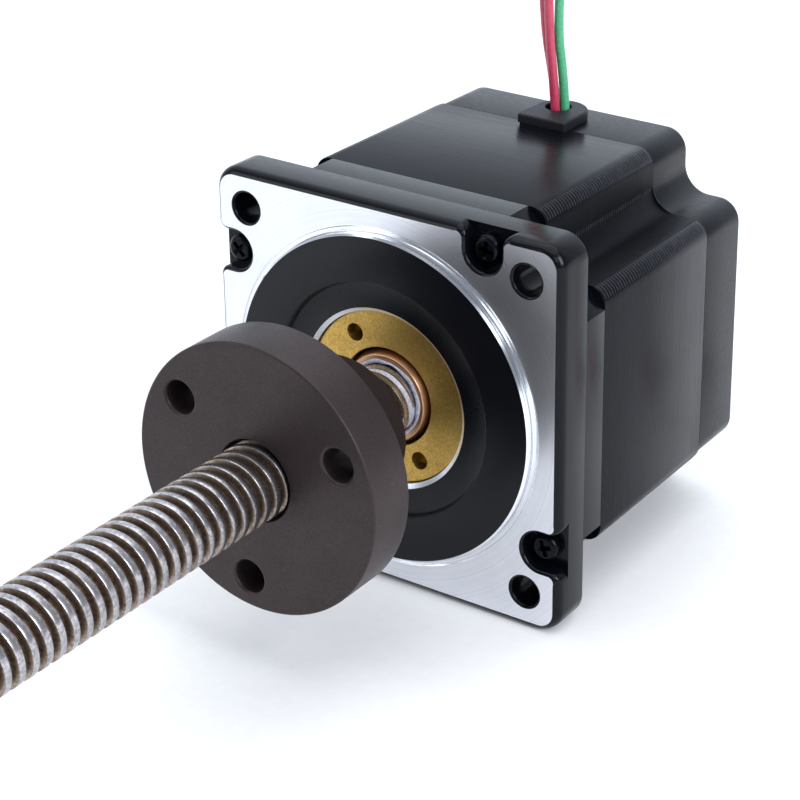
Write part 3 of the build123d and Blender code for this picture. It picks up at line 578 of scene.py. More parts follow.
@dataclass
class FrontCover:
    """Die-cast front cover: flange, pilot, notched body and the stepped bore, in millimetres."""

    half: float = 43.0
    flange: float = 9.5
    corner: float = 5.0
    edge_rim: float = 1.39
    edge_cut_degrees: float = 28.0
    hole_square: float = 69.6
    hole: float = 3.25
    hole_rim: float = 0.65
    pocket: Point = (24.5, 38.4)
    pocket_wall: float = 4.35
    pocket_rim: float = 0.65
    flare: float = 2.4
    pocket_floor: float = 3.7
    screw_hole: float = 1.95
    relief: float = 37.95
    relief_floor: float = 0.4
    pilot: float = 36.51
    pilot_face: float = -1.6
    pilot_chamfer: float = 0.4
    recess_floor: float = -0.3
    retainer_bore: float = 19.3
    retainer_seat: float = 5.1
    bearing_bore: float = 17.5
    bearing_seat: float = 16.1
    shaft_hole: float = 15.5
    hub: float = 21.0
    hub_rear: float = 17.5
    inside: float = 37.5
    inside_front: float = 7.0
    body_rear: float = 16.5
    body_rim: float = 0.18
    notch: float = 29.1
    notch_inner: float = 5.0
    bevel: float = 4.6
    break_least: float = 0.02
    break_swell: float = 0.4
    corner_steps: int = 12

    def outline(self) -> Edge:
        """Draw the flange's front part, with the four screw pockets open at its edges.

        Returns:
            The outline.
        """
        quarter = Edge()
        middle = self.half - self.corner
        near = self.half - self.flare
        spread = self.pocket_wall + self.flare
        x, z = self.pocket
        rims = (self.edge_rim, self.pocket_rim)
        quarter.arc((middle, middle), self.corner, 0, 90, (self.edge_rim, self.edge_rim),
                    steps=self.corner_steps)
        quarter.arc((x + spread, near), self.flare, 90, 180, rims, steps=12)
        quarter.arc((x, z), self.pocket_wall, 0, -180, rims[1:] * 2, hollow=True, steps=28)
        quarter.arc((x - spread, near), self.flare, 0, 90, rims[::-1], steps=12)
        return quarter.four_times()

    def square(self) -> Edge:
        """Draw the plain rounded square of the flange behind the pockets.

        Returns:
            The outline, with no rims.
        """
        quarter = Edge()
        middle = self.half - self.corner
        quarter.arc((middle, middle), self.corner, 0, 90, (0.0, 0.0), steps=self.corner_steps)
        return quarter.four_times()

    def corner_holes(self, rim: float) -> list[Edge]:
        """Draw the four bolt holes.

        Args:
            rim: Rounding of their rims.

        Returns:
            The four outlines.
        """
        reach = self.hole_square / 2
        return [ring_edge(self.hole, rim, True, (sx * reach, sz * reach), 40)
                for sx in (-1, 1) for sz in (-1, 1)]

    def turned_regions(self) -> tuple[tuple[Finish, Profile], ...]:
        """Radii and depths of the turned middle, from the relief inwards and back round the hub.

        Returns:
            Each region's finish and its points in order.
        """
        return (
            # The relief with its two fine ridges, then the pilot's outer wall and chamfer
            (BRIGHT_ALUMINIUM, [
                (self.relief, 0.0), (37.9, self.relief_floor), (37.7, self.relief_floor), (37.52, 0.2),
                (36.98, 0.2), (36.93, 0.42), (36.71, 0.42), (self.pilot, 0.22),
                (self.pilot, self.pilot_face + self.pilot_chamfer)]),
            # The pilot's painted face and the cove down to the recess in front of the retainer
            (DULL_PAINT, [
                (36.08, self.pilot_face), (26.55, self.pilot_face), (26.3, -1.52), (26.0, -1.15),
                (25.8, -0.7), (25.68, -0.42), (25.45, self.recess_floor)]),
            # The bores for the retainer, the bearing and the shaft
            (MILLED_ALUMINIUM, [
                (20.2, self.recess_floor), (self.retainer_bore, 0.4),
                (self.retainer_bore, self.retainer_seat), (self.bearing_bore, self.retainer_seat),
                (self.bearing_bore, self.bearing_seat), (self.shaft_hole, self.bearing_seat),
                (self.shaft_hole, self.hub_rear)]),
            # The hub's back and the hollow round it
            (GLOSS_ENAMEL, [
                (self.hub, self.hub_rear), (self.hub, self.inside_front),
                (self.inside, self.inside_front), (self.inside, self.flange),
                (self.relief, self.flange)]),
        )

    def build(self) -> bpy.types.Object:
        """Build the cover out of its flange, turned middle and notched body.

        Returns:
            The finished cover.
        """
        shell = Shell()
        finishes = [GLOSS_ENAMEL, MILLED_ALUMINIUM, DULL_PAINT, BRIGHT_ALUMINIUM]
        screws = screw_holes(self.screw_hole)
        relief = ring_edge(self.relief, 0.0, True, steps=192)
        shell.plate(self.outline(), self.corner_holes(self.hole_rim) + [relief], 0.0,
                    self.pocket_floor, slots=(1, 0), cut=math.radians(self.edge_cut_degrees))
        # The flange's back edge is broken at its corners only and runs out flush with the body
        swell = [self.break_least + self.break_swell * math.sin(math.pi * step / self.corner_steps)
                 for step in range(self.corner_steps + 1)]
        shell.plate(self.square(), self.corner_holes(0.0) + [relief] + screws, self.pocket_floor,
                    self.flange, back_rims=swell, steps=3)
        profile, slots = [], []
        for finish, points in self.turned_regions():
            profile += points
            slots += [finishes.index(finish)] * len(points)
        shell.lathe(profile, slots, steps=192)
        shell.plate(notched_edge(self.half, self.notch, self.bevel, self.notch_inner, 0.0, bevelled=True),
                    [ring_edge(self.inside, 0.0, True, steps=96)] + screws, self.flange,
                    self.body_rear, back_rims=[self.body_rim], steps=3)
        return shell.finish("front_cover_casting", finishes)


def notched_edge(half: float, wall: float, outer: float, inner: float, rim: float,
                 bevelled: bool = False) -> Edge:
    """Outline of the notched body behind the flange.

    Args:
        half: Half the frame's width.
        wall: Distance of the notch walls from the middle.
        outer: Radius of the outer corners.
        inner: Radius in the bottom of the notch.
        rim: Rounding of the front rim.
        bevelled: True for flat bevels in place of the rounded outer corners.

    Returns:
        The outline.
    """
    steps = 1 if bevelled else 10
    quarter = Edge()
    quarter.arc((half - outer, wall - outer), outer, 0, 90, (rim, rim), steps=steps)
    quarter.arc((wall + inner, wall + inner), inner, 270, 180, (rim, rim), hollow=True, steps=12)
    quarter.arc((wall - outer, half - outer), outer, 0, 90, (rim, rim), steps=steps)
    return quarter.four_times()


def screw_places() -> list[Point]:
    """Places of the four cover screws, one quarter turn apart."""
    x, z = SCREW_PLACE
    return [(x * cos - z * sin, x * sin + z * cos) for cos, sin in QUARTER_TURNS]


def screw_holes(radius: float) -> list[Edge]:
    """Outlines of the holes for the four cover screws, of a given radius."""
    return [ring_edge(radius, 0.0, True, place, 24) for place in screw_places()]


@dataclass
class StatorStack:
    """Laminated stack with eight toothed poles, and the fine ribs along its corner edges.

    Sizes are in millimetres, and the tooth pitch, the spans and the aim in degrees.
    """

    half: float = 43.0
    front: float = 16.5
    rear: float = 59.4
    corner: float = 4.0
    rim: float = 0.12
    notch: float = 29.1
    notch_inner: float = 5.0
    notch_shade_margin: float = 0.2
    # Margin inside the notch walls for the faces that get the painted shade
    screw_hole: float = 1.95
    bore: float = 25.2
    shoe: float = 28.5
    slot: float = 36.5
    pole_half: float = 4.5
    tooth_pitch: float = 7.2
    tooth_gap: float = 1.6
    tooth_depth: float = 1.1
    opening: float = 2.4
    rib_pitch: float = 0.95
    rib_start: float = 0.8
    rib_margin: float = 1.0
    rib_width: float = 0.52
    rib_height: float = 0.07
    rib_sunk: float = 0.02
    rib_foot: float = -0.1
    rib_span: float = 27.0
    crease_span: float = 7.0
    crease_aim: float = 184.0

    def bore_outline(self) -> Edge:
        """Outline of the slots, poles and teeth inside the stack.

        Returns:
            The inner outline, with no rims.
        """
        edge = Edge()

        def spot(radius: float, degrees: float) -> None:
            """Add one point of the outline.

            Args:
                radius: Its distance from the shaft.
                degrees: Its angle round the shaft.
            """
            angle = math.radians(degrees)
            ray = (math.cos(angle), math.sin(angle))
            edge.points.append((radius * ray[0], radius * ray[1]))
            edge.outward.append((-ray[0], -ray[1]))
            edge.rims.append(0.0)

        def across(radius: float, offset: float) -> float:
            """Angle of a point at a sideways offset from a pole's middle line."""
            return math.degrees(math.asin(offset / radius))

        poles = 8
        step = 360 / poles
        gaps = 5
        divisions = 8
        tip = step / 2 - across(self.bore, self.opening / 2)
        end = step / 2 - across(self.shoe, self.opening / 2)
        neck = across(self.shoe, self.pole_half)
        root = across(self.slot, self.pole_half)
        wide = across(self.bore, self.tooth_gap / 2)
        deep = self.bore + self.tooth_depth
        for pole in range(poles):
            middle = step * (pole + 0.5)
            spot(self.bore, middle - tip)
            for gap in range(gaps):
                turn = middle + self.tooth_pitch * (gap - gaps // 2)
                spot(self.bore, turn - wide)
                spot(deep, turn - wide)
                spot(deep, turn + wide)
                spot(self.bore, turn + wide)
            spot(self.bore, middle + tip)
            spot(self.shoe, middle + end)
            spot(self.shoe, middle + neck)
            spot(self.slot, middle + root)
            for i in range(1, divisions):
                spot(self.slot, middle + root + (step - 2 * root) * i / divisions)
            spot(self.slot, middle + step - root)
            spot(self.shoe, middle + step - neck)
            spot(self.shoe, middle + step - end)
        return edge

    def build(self) -> bpy.types.Object:
        """Build the stack as one block with its bore.

        Returns:
            The finished stack.
        """
        shell = Shell()
        shell.plate(notched_edge(self.half, self.notch, self.corner, self.notch_inner, self.rim),
                    [self.bore_outline()] + screw_holes(self.screw_hole),
                    self.front, self.rear, back_rims=[self.rim], steps=2)
        # Faces in the notches get painted shade: a darker, duller copy of the sheets' paint
        for face in shell.mesh.faces:
            x, _, z = face.calc_center_median()
            if min(abs(x), abs(z)) > (self.notch - self.notch_shade_margin) * MM:
                face.material_index = 1
        return shell.finish("stator_laminations", [PAINTED_SHEETS, NOTCH_PAINTED_SHADE])

    def rib_places(self) -> list[tuple[Point, float, float, float]]:
        """List the rounded corners that carry a rib.

        Returns:
            The middle of each corner, the direction of its rib in degrees, the corner's radius,
            below zero where it is hollow, and half the angle that the rib spans.
        """
        far = self.half - self.corner
        near = self.notch - self.corner
        places = [((sx * x, sz * z), math.degrees(math.atan2(sz, sx)), self.corner, self.rib_span)
                  for sx in (-1, 1) for sz in (-1, 1) for x, z in ((far, near), (near, far))]
        reach = self.notch + self.notch_inner
        for turn, (cos, sin) in enumerate(QUARTER_TURNS):
            middle = (reach * cos - reach * sin, reach * sin + reach * cos)
            places.append((middle, 90.0 * turn + self.crease_aim, -self.notch_inner, self.crease_span))
        return places

    def rib_ring(self) -> bpy.types.Object:
        """Build the ribs of one sheet: a low, tapered bar over each rounded corner of the outline.

        Returns:
            The ribs of one sheet, in the plane of the shaft's origin.
        """
        shell = Shell()
        steps = 8
        # Place across in rib widths and height in rib heights, or None for a foot inside the sheet
        section = ((-0.5, None), (-0.28, 0.7), (0.0, 1.0), (0.28, 0.7), (0.5, None))
        for (x, z), aim, radius, span in self.rib_places():
            rows = []
            for i in range(steps + 1):
                share = 2 * i / steps - 1
                angle = math.radians(aim + span * share)
                height = self.rib_height * (1 - share * share) - self.rib_sunk
                points, depths = [], []
                for wide, high in section:
                    lift = self.rib_foot if high is None else height * high
                    reach = abs(radius) + math.copysign(1.0, radius) * lift
                    points.append((x + reach * math.cos(angle), z + reach * math.sin(angle)))
                    depths.append(wide * self.rib_width)
                rows.append(shell.loop(points, depths))
            for first, second in zip(rows, rows[1:]):
                shell.skin(first, second, 0)
            for end in (rows[0], rows[-1]):
                shell.mesh.faces.new(end)
        return shell.finish("corner_rib_pattern", [WORN_RIB])

    def rib_tree(self) -> bpy.types.NodeTree:
        """Tree that repeats the ribs of one sheet along the stack.

        Returns:
            The tree, with the ribs, their number, pitch, start and material as named inputs.
        """
        tree, entry = new_tree("corner_rib_rows", {
            "Ribs": "NodeSocketObject", "Count": "NodeSocketInt", "Pitch": "NodeSocketVector",
            "Start": "NodeSocketVector", "Material": "NodeSocketMaterial"})
        given = entry.outputs
        row = add_node(tree, "GeometryNodeMeshLine", {
            "Count": given["Count"], "Start Location": given["Start"], "Offset": given["Pitch"]})
        set_copies(tree, given["Ribs"], given["Material"], {"Points": row.outputs[0]})
        return tree

    def build_ribs(self) -> bpy.types.Object:
        """Grow the ribs along the whole stack from those of one sheet.

        Returns:
            The ribs as one piece.
        """
        pattern = self.rib_ring()
        count = int((self.rear - self.front - self.rib_margin) / self.rib_pitch)
        ribs = grow("stack_corner_ribs", self.rib_tree(), {
            "Ribs": pattern, "Count": count, "Pitch": (0.0, self.rib_pitch * MM, 0.0),
            "Start": (0.0, (self.front + self.rib_start) * MM, 0.0),
            "Material": material_of(WORN_RIB)}, [(0.0, 0.0, 0.0)])
        bpy.data.objects.remove(pattern)
        return ribs


@dataclass
class RearCover:
    """Die-cast rear cover: notched cap and bearing hub, in millimetres."""

    front: float = 59.4
    rear: float = 75.3
    floor: float = 68.0
    half: float = 43.0
    corner: float = 5.0
    front_rim: float = 0.18
    rear_rim: float = 1.5
    notch: float = 29.1
    notch_inner: float = 6.0
    screw_hole: float = 1.75
    inside: float = 37.5
    hub: float = 18.0
    hub_front: float = 60.4
    bearing_bore: float = 14.0
    bearing_seat: float = 70.6

    def build(self) -> bpy.types.Object:
        """Build the cap's ring, its back and the bearing hub.

        Returns:
            The finished cover.
        """
        shell = Shell()
        rims, plain = [notched_edge(self.half, self.notch, self.corner, self.notch_inner, rim)
                       for rim in (self.front_rim, 0.0)]
        shell.plate(rims, [ring_edge(self.inside, 0.0, True, steps=128)] + screw_holes(self.screw_hole),
                    self.front, self.floor, steps=3)
        shell.plate(plain, [ring_edge(self.hub, 0.0, True, steps=96)], self.floor, self.rear,
                    back_rims=[self.rear_rim], steps=8)
        shell.lathe([(self.bearing_bore, self.hub_front), (self.hub, self.hub_front),
                     (self.hub, self.rear), (0.0, self.rear), (0.0, self.bearing_seat),
                     (self.bearing_bore, self.bearing_seat)], [0], steps=96)
        return shell.finish("rear_cover_casting", [SATIN_ENAMEL])


@dataclass
class FlangeNut:
    """Round flange nut: flange with three holes, hub and plain bore, in millimetres."""

    face: float = -41.9
    flange_rear: float = -30.9
    hub_end: float = -13.1
    flange: float = 28.5
    hub: float = 15.2
    bore: float = 8.0
    mouth: float = 8.75
    mouth_rim: float = 0.15
    mouth_depth: float = 1.6
    hole: float = 3.5
    hole_rim: float = 0.6
    circle: float = 22.0
    first_hole_degrees: float = 24.0
    rim: float = 0.5
    rear_rim: float = 0.25
    hub_rim: float = 0.5
    hub_rim_middle: float = 0.15

    def build(self) -> bpy.types.Object:
        """Build the nut as a drilled flange and a turned hub.

        Returns:
            The finished nut.
        """
        shell = Shell()
        angles = [math.radians(self.first_hole_degrees + 120 * i) for i in range(3)]
        holes = [ring_edge(self.hole, self.hole_rim, True,
                           (self.circle * math.cos(a), self.circle * math.sin(a)), 48) for a in angles]
        shell.plate(ring_edge(self.flange, self.rim, False, steps=160),
                    holes + [ring_edge(self.hub, 0.0, True, steps=128)], self.face,
                    self.flange_rear, back_rims=[self.rear_rim])
        inside = self.mouth - self.mouth_rim
        floor = self.face + self.mouth_depth
        # The mouth's counterbore ends in a cone of 45 degrees, and the bore behind it is greased
        shell.lathe([(self.hub, self.face), (self.mouth, self.face),
                     (inside, self.face + self.mouth_rim), (inside, floor),
                     (self.bore, floor + inside - self.bore), (self.bore, self.hub_end),
                     (self.hub - self.hub_rim, self.hub_end),
                     (self.hub - self.hub_rim_middle, self.hub_end - self.hub_rim_middle),
                     (self.hub, self.hub_end - self.hub_rim)],
                    [0, 0, 0, 0, 1, 0, 0, 0, 0], steps=128)
        return shell.finish("flange_nut_body", [PHOSPHATED_STEEL, GREASED_STEEL])


def waves(angle: float, parts: tuple[Wave, ...]) -> float:
    """Sum sine waves that run round the shaft, each with a height, a count and a phase."""
    return sum(height * math.sin(count * angle + phase) for height, count, phase in parts)


@dataclass
class FrontBore:
    """What shows in the front bore: the brass retainer, the bronze collar and its bead of grease."""

    retainer: float = 19.2
    retainer_face: float = 1.1
    retainer_rear: float = 5.1
    retainer_rim: float = 0.3
    retainer_hole: float = 11.0
    retainer_hole_rim: float = 0.2
    spanner_hole: float = 1.95
    spanner_rim: float = 0.12
    spanner_reach: float = 15.0
    spanner_degrees: float = 122.0
    collar: float = 10.5
    collar_bore: float = 7.5
    collar_face: float = 0.1
    collar_rear: float = 5.1
    bevel_rear: float = 2.3
    counterbore: float = 8.4
    counterbore_rim: float = 0.15
    counterbore_floor: float = 1.9
    bead_radius: float = 8.42
    bead_depth: float = 0.2
    bead_half_width: float = 0.45
    bead_half_height: float = 0.38
    bead_swell: tuple[Wave, ...] = ((0.12, 3, 0.6), (0.09, 7, 2.0))
    bead_wander: tuple[Wave, ...] = ((0.1, 2, 1.2), (0.06, 11, 0.0))
    film_ragged: tuple[Wave, ...] = ((0.25, 2, 0.5),)
    film_front: float = -3.7
    film_length: float = 4.1
    film_radius: float = 7.3
    film_crest: float = 0.5
    film_outside: float = 0.02
    film_inside: float = -0.5
    crest_at: float = 0.25

    def build_retainer(self) -> bpy.types.Object:
        """Build the brass ring with its two spanner holes.

        Returns:
            The finished ring.
        """
        shell = Shell()
        turns = [math.radians(self.spanner_degrees + 180 * i) for i in range(2)]
        spots = [(self.spanner_reach * math.cos(a), self.spanner_reach * math.sin(a)) for a in turns]
        holes = [ring_edge(self.spanner_hole, self.spanner_rim, True, spot, 40) for spot in spots]
        holes.append(ring_edge(self.retainer_hole, self.retainer_hole_rim, True, steps=128))
        shell.plate(ring_edge(self.retainer, self.retainer_rim, False, steps=160), holes,
                    self.retainer_face, self.retainer_rear, steps=4)
        return shell.finish("bearing_retainer_ring", [TUMBLED_BRASS])

    def build_collar(self) -> bpy.types.Object:
        """Build the bronze collar with its bevelled face and counterbore.

        Returns:
            The finished collar.
        """
        shell = Shell()
        # Radius lost and depth at each point where the bevel rolls over into the face
        rolled = ((0.66, 0.42), (0.73, 0.24), (0.85, 0.13), (1.0, self.collar_face))
        shell.lathe([(self.collar_bore, self.counterbore_floor), (self.collar_bore, self.collar_rear),
                     (self.collar, self.collar_rear), (self.collar, self.bevel_rear),
                     *((self.collar - lost, depth) for lost, depth in rolled),
                     (self.counterbore + self.counterbore_rim, self.collar_face),
                     (self.counterbore, self.collar_face + self.counterbore_rim),
                     (self.counterbore, self.counterbore_floor)], [0], steps=160)
        return shell.finish("screw_collar_ring", [TURNED_BRONZE])

    def bead_point(self, angle: float, turn: float) -> Point:
        """Place a point of the grease bead, whose width and path wander round the screw.

        Args:
            angle: Angle round the shaft, in radians.
            turn: Angle round the bead's own section, in radians.

        Returns:
            The point's radius and depth.
        """
        swell = waves(angle, self.bead_swell)
        middle = self.bead_radius + waves(angle, self.bead_wander)
        radius = middle + (self.bead_half_width + 0.8 * swell) * math.cos(turn)
        return radius, self.bead_depth + (self.bead_half_height + 0.5 * swell) * math.sin(turn)

    def film_point(self, angle: float, share: float, outside: bool) -> Point:
        """Place a point of the grease film over the thread's last turns, thicker in the grooves.

        Args:
            angle: Angle round the shaft, in radians.
            share: 0 at the film's front edge, 1 at the bead.
            outside: True for the side that shows.

        Returns:
            The point's radius and depth.
        """
        ragged = waves(angle, self.film_ragged) * (1 - share)
        depth = self.film_front + self.film_length * share + ragged
        # 1 on the crests of the two-start thread, 0 in the middle of its grooves
        turns = (depth - self.crest_at) / THREAD_PITCH + 2 * angle / (2 * math.pi)
        crest = 0.5 + 0.5 * math.cos(2 * math.pi * turns)
        # Full thickness over the turns, running out at the front edge and under the bead
        fade = min(1.0, share * 6, (1.02 - share) * 12)
        thick = self.film_outside if outside else self.film_inside
        radius = self.film_radius + self.film_crest * crest ** 0.7 + thick * (0.4 + 0.6 * fade)
        lumps = 0.05 * math.sin(5 * angle + 3 * share) * fade if outside else 0.0
        return radius + lumps, depth

    def build_grease(self) -> bpy.types.Object:
        """Build the uneven bead of grease between the collar and the screw, and its thin film.

        Returns:
            The grease as one piece.
        """
        shell = Shell()
        steps = 192
        bead_rows = 14
        film_rows = 25
        angles = [2 * math.pi * i / steps for i in range(steps)]
        bead = [[self.bead_point(angle, 2 * math.pi * row / bead_rows) for angle in angles]
                for row in range(bead_rows)]
        # Out along the film's outer side, then back along the side that lies on the thread
        film = [[self.film_point(angle, row / film_rows, True) for angle in angles]
                for row in range(film_rows + 1)]
        film += [[self.film_point(angle, 1 - row / film_rows, False) for angle in angles]
                 for row in range(film_rows + 1)]
        for rings in (bead, film):
            rows = []
            for ring in rings:
                points = [(radius * math.cos(angle), radius * math.sin(angle))
                          for angle, (radius, _) in zip(angles, ring)]
                rows.append(shell.loop(points, [depth for _, depth in ring]))
            for first, second in zip(rows, rows[1:] + rows[:1]):
                shell.skin(first, second, 0)
        return shell.finish("screw_grease_bead", [PALE_GREASE])


def crease(data: bpy.types.Mesh) -> None:
    """Shade a mesh smooth, with crisp edges where its faces meet at an angle.

    Args:
        data: The mesh to shade.
    """
    work = bmesh.new()
    work.from_mesh(data)
    for face in work.faces:
        face.smooth = True
    for edge in work.edges:
        if len(edge.link_faces) == 2:
            edge.smooth = edge.link_faces[0].normal.angle(edge.link_faces[1].normal, 0.0) < SMOOTH_BELOW
    work.to_mesh(data)
    work.free()


def new_tree(name: str, inputs: dict[str, str]) -> tuple[bpy.types.NodeTree, bpy.types.Node]:
    """Start a geometry node tree with named inputs.

    Args:
        name: Name of the tree.
        inputs: Socket type of each input by its name.

    Returns:
        The tree and its input node.
    """
    tree = bpy.data.node_groups.new(name, "GeometryNodeTree")
    tree.interface.new_socket("Geometry", in_out="OUTPUT", socket_type="NodeSocketGeometry")
    tree.interface.new_socket("Geometry", in_out="INPUT", socket_type="NodeSocketGeometry")
    for label, kind in inputs.items():
        tree.interface.new_socket(label, in_out="INPUT", socket_type=kind)
    return tree, add_node(tree, "NodeGroupInput")


def set_copies(tree: bpy.types.NodeTree, pattern: bpy.types.NodeSocket,
               material: bpy.types.NodeSocket, placing: dict[str, bpy.types.NodeSocket]) -> None:
    """End a tree with real copies of a pattern in their material.

    Args:
        tree: The node tree.
        pattern: Socket of the object to copy.
        material: Socket of the copies' material.
        placing: The points, and how each copy is turned where that is wanted.
    """
    source = add_node(tree, "GeometryNodeObjectInfo", {"Object": pattern})
    placed = add_node(tree, "GeometryNodeInstanceOnPoints", {
        "Instance": source.outputs["Geometry"], **placing})
    real = add_node(tree, "GeometryNodeRealizeInstances", {0: placed.outputs[0]})
    dressed = add_node(tree, "GeometryNodeSetMaterial", {
        "Geometry": real.outputs[0], "Material": material})
    add_node(tree, "NodeGroupOutput", {0: dressed.outputs[0]})


def keep_plain(name: str, carrier: bpy.types.Object) -> bpy.types.Object:
    """Keep what an object's modifiers make of it as a plain mesh, and delete the object.

    Args:
        name: Name of the result.
        carrier: The object with the modifiers.

    Returns:
        The result, shaded with crisp edges.
    """
    bpy.context.view_layer.update()
    graph = bpy.context.evaluated_depsgraph_get()
    plain = bpy.data.meshes.new_from_object(carrier.evaluated_get(graph))
    bpy.data.objects.remove(carrier)
    plain.name = name
    crease(plain)
    return add_object(name, plain)


def grow(name: str, tree: bpy.types.NodeTree, values: dict[str, object],
         seeds: list[Place]) -> bpy.types.Object:
    """Run a geometry node tree once and keep its result as a plain mesh.

    Args:
        name: Name of the piece.
        tree: The tree to run.
        values: Value of each named input.
        seeds: Points of the carrier mesh, in metres.

    Returns:
        The finished piece.
    """
    data = bpy.data.meshes.new(name + "_seeds")
    data.from_pydata(seeds, [], [])
    carrier = add_object(name + "_seeds", data)
    modifier = carrier.modifiers.new("grow", "NODES")
    modifier.node_group = tree
    for item in tree.interface.items_tree:
        if item.in_out == "INPUT" and item.name in values:
            modifier[item.identifier] = values[item.name]
    return keep_plain(name, carrier)


@dataclass
class LeadScrew:
    """Two-start lead screw and the shaft behind it, in millimetres."""

    radius: float = 7.9375
    root: float = 6.35
    lead: float = 2 * THREAD_PITCH
    crest: float = 1.5
    base: float = 2.4
    sunk: float = 0.3
    rounding: float = 0.26
    bright_band: float = 0.12
    tip: float = -200.0
    tip_chamfer: float = 0.6
    bare_tip: float = 1.5
    thread_end: float = 1.7
    phase_degrees: float = 72.0
    core_end: float = 1.9
    journal: float = 7.5
    groove: float = 7.0
    groove_front: float = 57.4
    groove_rear: float = 58.6
    journal_end: float = 60.9
    rear_journal: float = 6.0
    rear_chamfer: float = 0.3
    end: float = 69.5

    def thread_tree(self) -> bpy.types.NodeTree:
        """Tree that sweeps the thread's section along a helix and adds its second start.

        Returns:
            The tree, with the thread's sizes as named inputs.
        """
        sizes = ("Root", "Lead", "Turns", "Crest", "Base", "Height", "Tip", "Phase", "Crest Reach",
                 "Rounding")
        tree, entry = new_tree("lead_screw_thread", {
            **{size: "NodeSocketFloat" for size in sizes},
            "Crest Material": "NodeSocketMaterial", "Flank Material": "NodeSocketMaterial"})
        given = entry.outputs
        # A helix half way up the thread, which carries the thread's rounded section
        length = add_node(tree, "ShaderNodeMath", {
            0: given["Lead"], 1: given["Turns"]}, operation="MULTIPLY").outputs[0]
        half = add_node(tree, "ShaderNodeMath", {
            0: given["Height"], 1: 0.5}, operation="MULTIPLY").outputs[0]
        middle = add_node(tree, "ShaderNodeMath", {
            0: given["Root"], 1: half}, operation="ADD").outputs[0]
        helix = add_node(tree, "GeometryNodeCurveSpiral", {
            "Resolution": 52, "Rotations": given["Turns"], "Start Radius": middle, "End Radius": middle,
            "Height": length, "Reverse": True})
        upright = add_node(tree, "GeometryNodeSetCurveNormal", {0: helix.outputs[0]}, mode="Z_UP")
        section = add_node(tree, "GeometryNodeCurvePrimitiveQuadrilateral", {
            "Bottom Width": given["Base"], "Top Width": given["Crest"], "Height": given["Height"],
            "Offset": 0.0}, mode="TRAPEZOID")
        rounded = add_node(tree, "GeometryNodeFilletCurve", {
            "Curve": section.outputs[0], "Count": 2, "Radius": given["Rounding"]}, mode="POLY")
        outwards = add_node(tree, "GeometryNodeTransform", {
            "Geometry": rounded.outputs[0], "Rotation": (0.0, 0.0, -math.pi / 2)})
        swept = add_node(tree, "GeometryNodeCurveToMesh", {
            "Curve": upright.outputs[0], "Profile Curve": outwards.outputs[0], "Fill Caps": True})
        # The second start is the first one, half a turn round
        half_turn = add_node(tree, "GeometryNodeTransform", {
            "Geometry": swept.outputs[0], "Rotation": (0.0, 0.0, math.pi)})
        starts = add_node(tree, "GeometryNodeJoinGeometry", {0: swept.outputs[0]})
        tree.links.new(half_turn.outputs[0], starts.inputs[0])
        # Both are turned to their phase, then laid along the shaft from the tip on
        turn = add_node(tree, "ShaderNodeCombineXYZ", {0: -math.pi / 2})
        shift = add_node(tree, "ShaderNodeCombineXYZ", {1: given["Tip"]})
        spin = add_node(tree, "ShaderNodeCombineXYZ", {2: given["Phase"]})
        phased = add_node(tree, "GeometryNodeTransform", {
            "Geometry": starts.outputs[0], "Rotation": spin.outputs[0]})
        laid = add_node(tree, "GeometryNodeTransform", {
            "Geometry": phased.outputs[0], "Translation": shift.outputs[0], "Rotation": turn.outputs[0]})
        # Faces near the outside are the burnished crests
        place = add_node(tree, "ShaderNodeSeparateXYZ", {
            0: add_node(tree, "GeometryNodeInputPosition").outputs[0]})
        flat = add_node(tree, "ShaderNodeCombineXYZ", {0: place.outputs[0], 1: place.outputs[2]})
        reach = add_node(tree, "ShaderNodeVectorMath", {0: flat.outputs[0]}, operation="LENGTH")
        outside = add_node(tree, "ShaderNodeMath", {
            0: reach.outputs["Value"], 1: given["Crest Reach"]}, operation="GREATER_THAN")
        plain = add_node(tree, "GeometryNodeSetMaterial", {
            "Geometry": laid.outputs[0], "Material": given["Flank Material"]})
        bright = add_node(tree, "GeometryNodeSetMaterial", {
            "Geometry": plain.outputs[0], "Selection": outside.outputs[0],
            "Material": given["Crest Material"]})
        real = add_node(tree, "GeometryNodeRealizeInstances", {0: bright.outputs[0]})
        add_node(tree, "NodeGroupOutput", {0: real.outputs[0]})
        return tree

    def build_thread(self) -> bpy.types.Object:
        """Grow the thread from the tip to the collar.

        Returns:
            The thread as one piece.
        """
        turns = (self.thread_end - self.tip - 2 * self.bare_tip) / self.lead
        return grow("lead_screw_thread", self.thread_tree(), {
            "Root": (self.root - self.sunk) * MM, "Lead": self.lead * MM, "Turns": turns,
            "Crest": self.crest * MM, "Base": self.base * MM, "Rounding": self.rounding * MM,
            "Height": (self.radius - self.root + self.sunk) * MM,
            "Tip": (self.tip + self.bare_tip) * MM, "Phase": math.radians(self.phase_degrees),
            "Crest Reach": (self.radius - self.bright_band) * MM,
            "Crest Material": material_of(ROLLED_STEEL),
            "Flank Material": material_of(GREASED_STEEL)}, [(0.0, 0.0, 0.0)])

    def build_core(self) -> bpy.types.Object:
        """Build the threaded part's core and the ground journals behind it.

        Returns:
            The finished core.
        """
        shell = Shell()
        end = [(0.0, self.tip), (self.root - self.tip_chamfer, self.tip)]
        threaded = [(self.root, self.tip + self.tip_chamfer)]
        journals = [(self.root, self.core_end), (self.journal, self.core_end),
                    (self.journal, self.groove_front), (self.groove, self.groove_front),
                    (self.groove, self.groove_rear), (self.journal, self.groove_rear),
                    (self.journal, self.journal_end), (self.rear_journal, self.journal_end),
                    (self.rear_journal, self.end - self.rear_chamfer),
                    (self.rear_journal - self.rear_chamfer, self.end), (0.0, self.end)]
        slots = [1] * len(end) + [0] * len(threaded) + [1] * len(journals)
        # The root between the threads is greased, and everything else is bright
        shell.lathe(end + threaded + journals, slots, steps=96, closed=False)
        return shell.finish("lead_screw_core", [GREASED_STEEL, ROLLED_STEEL])


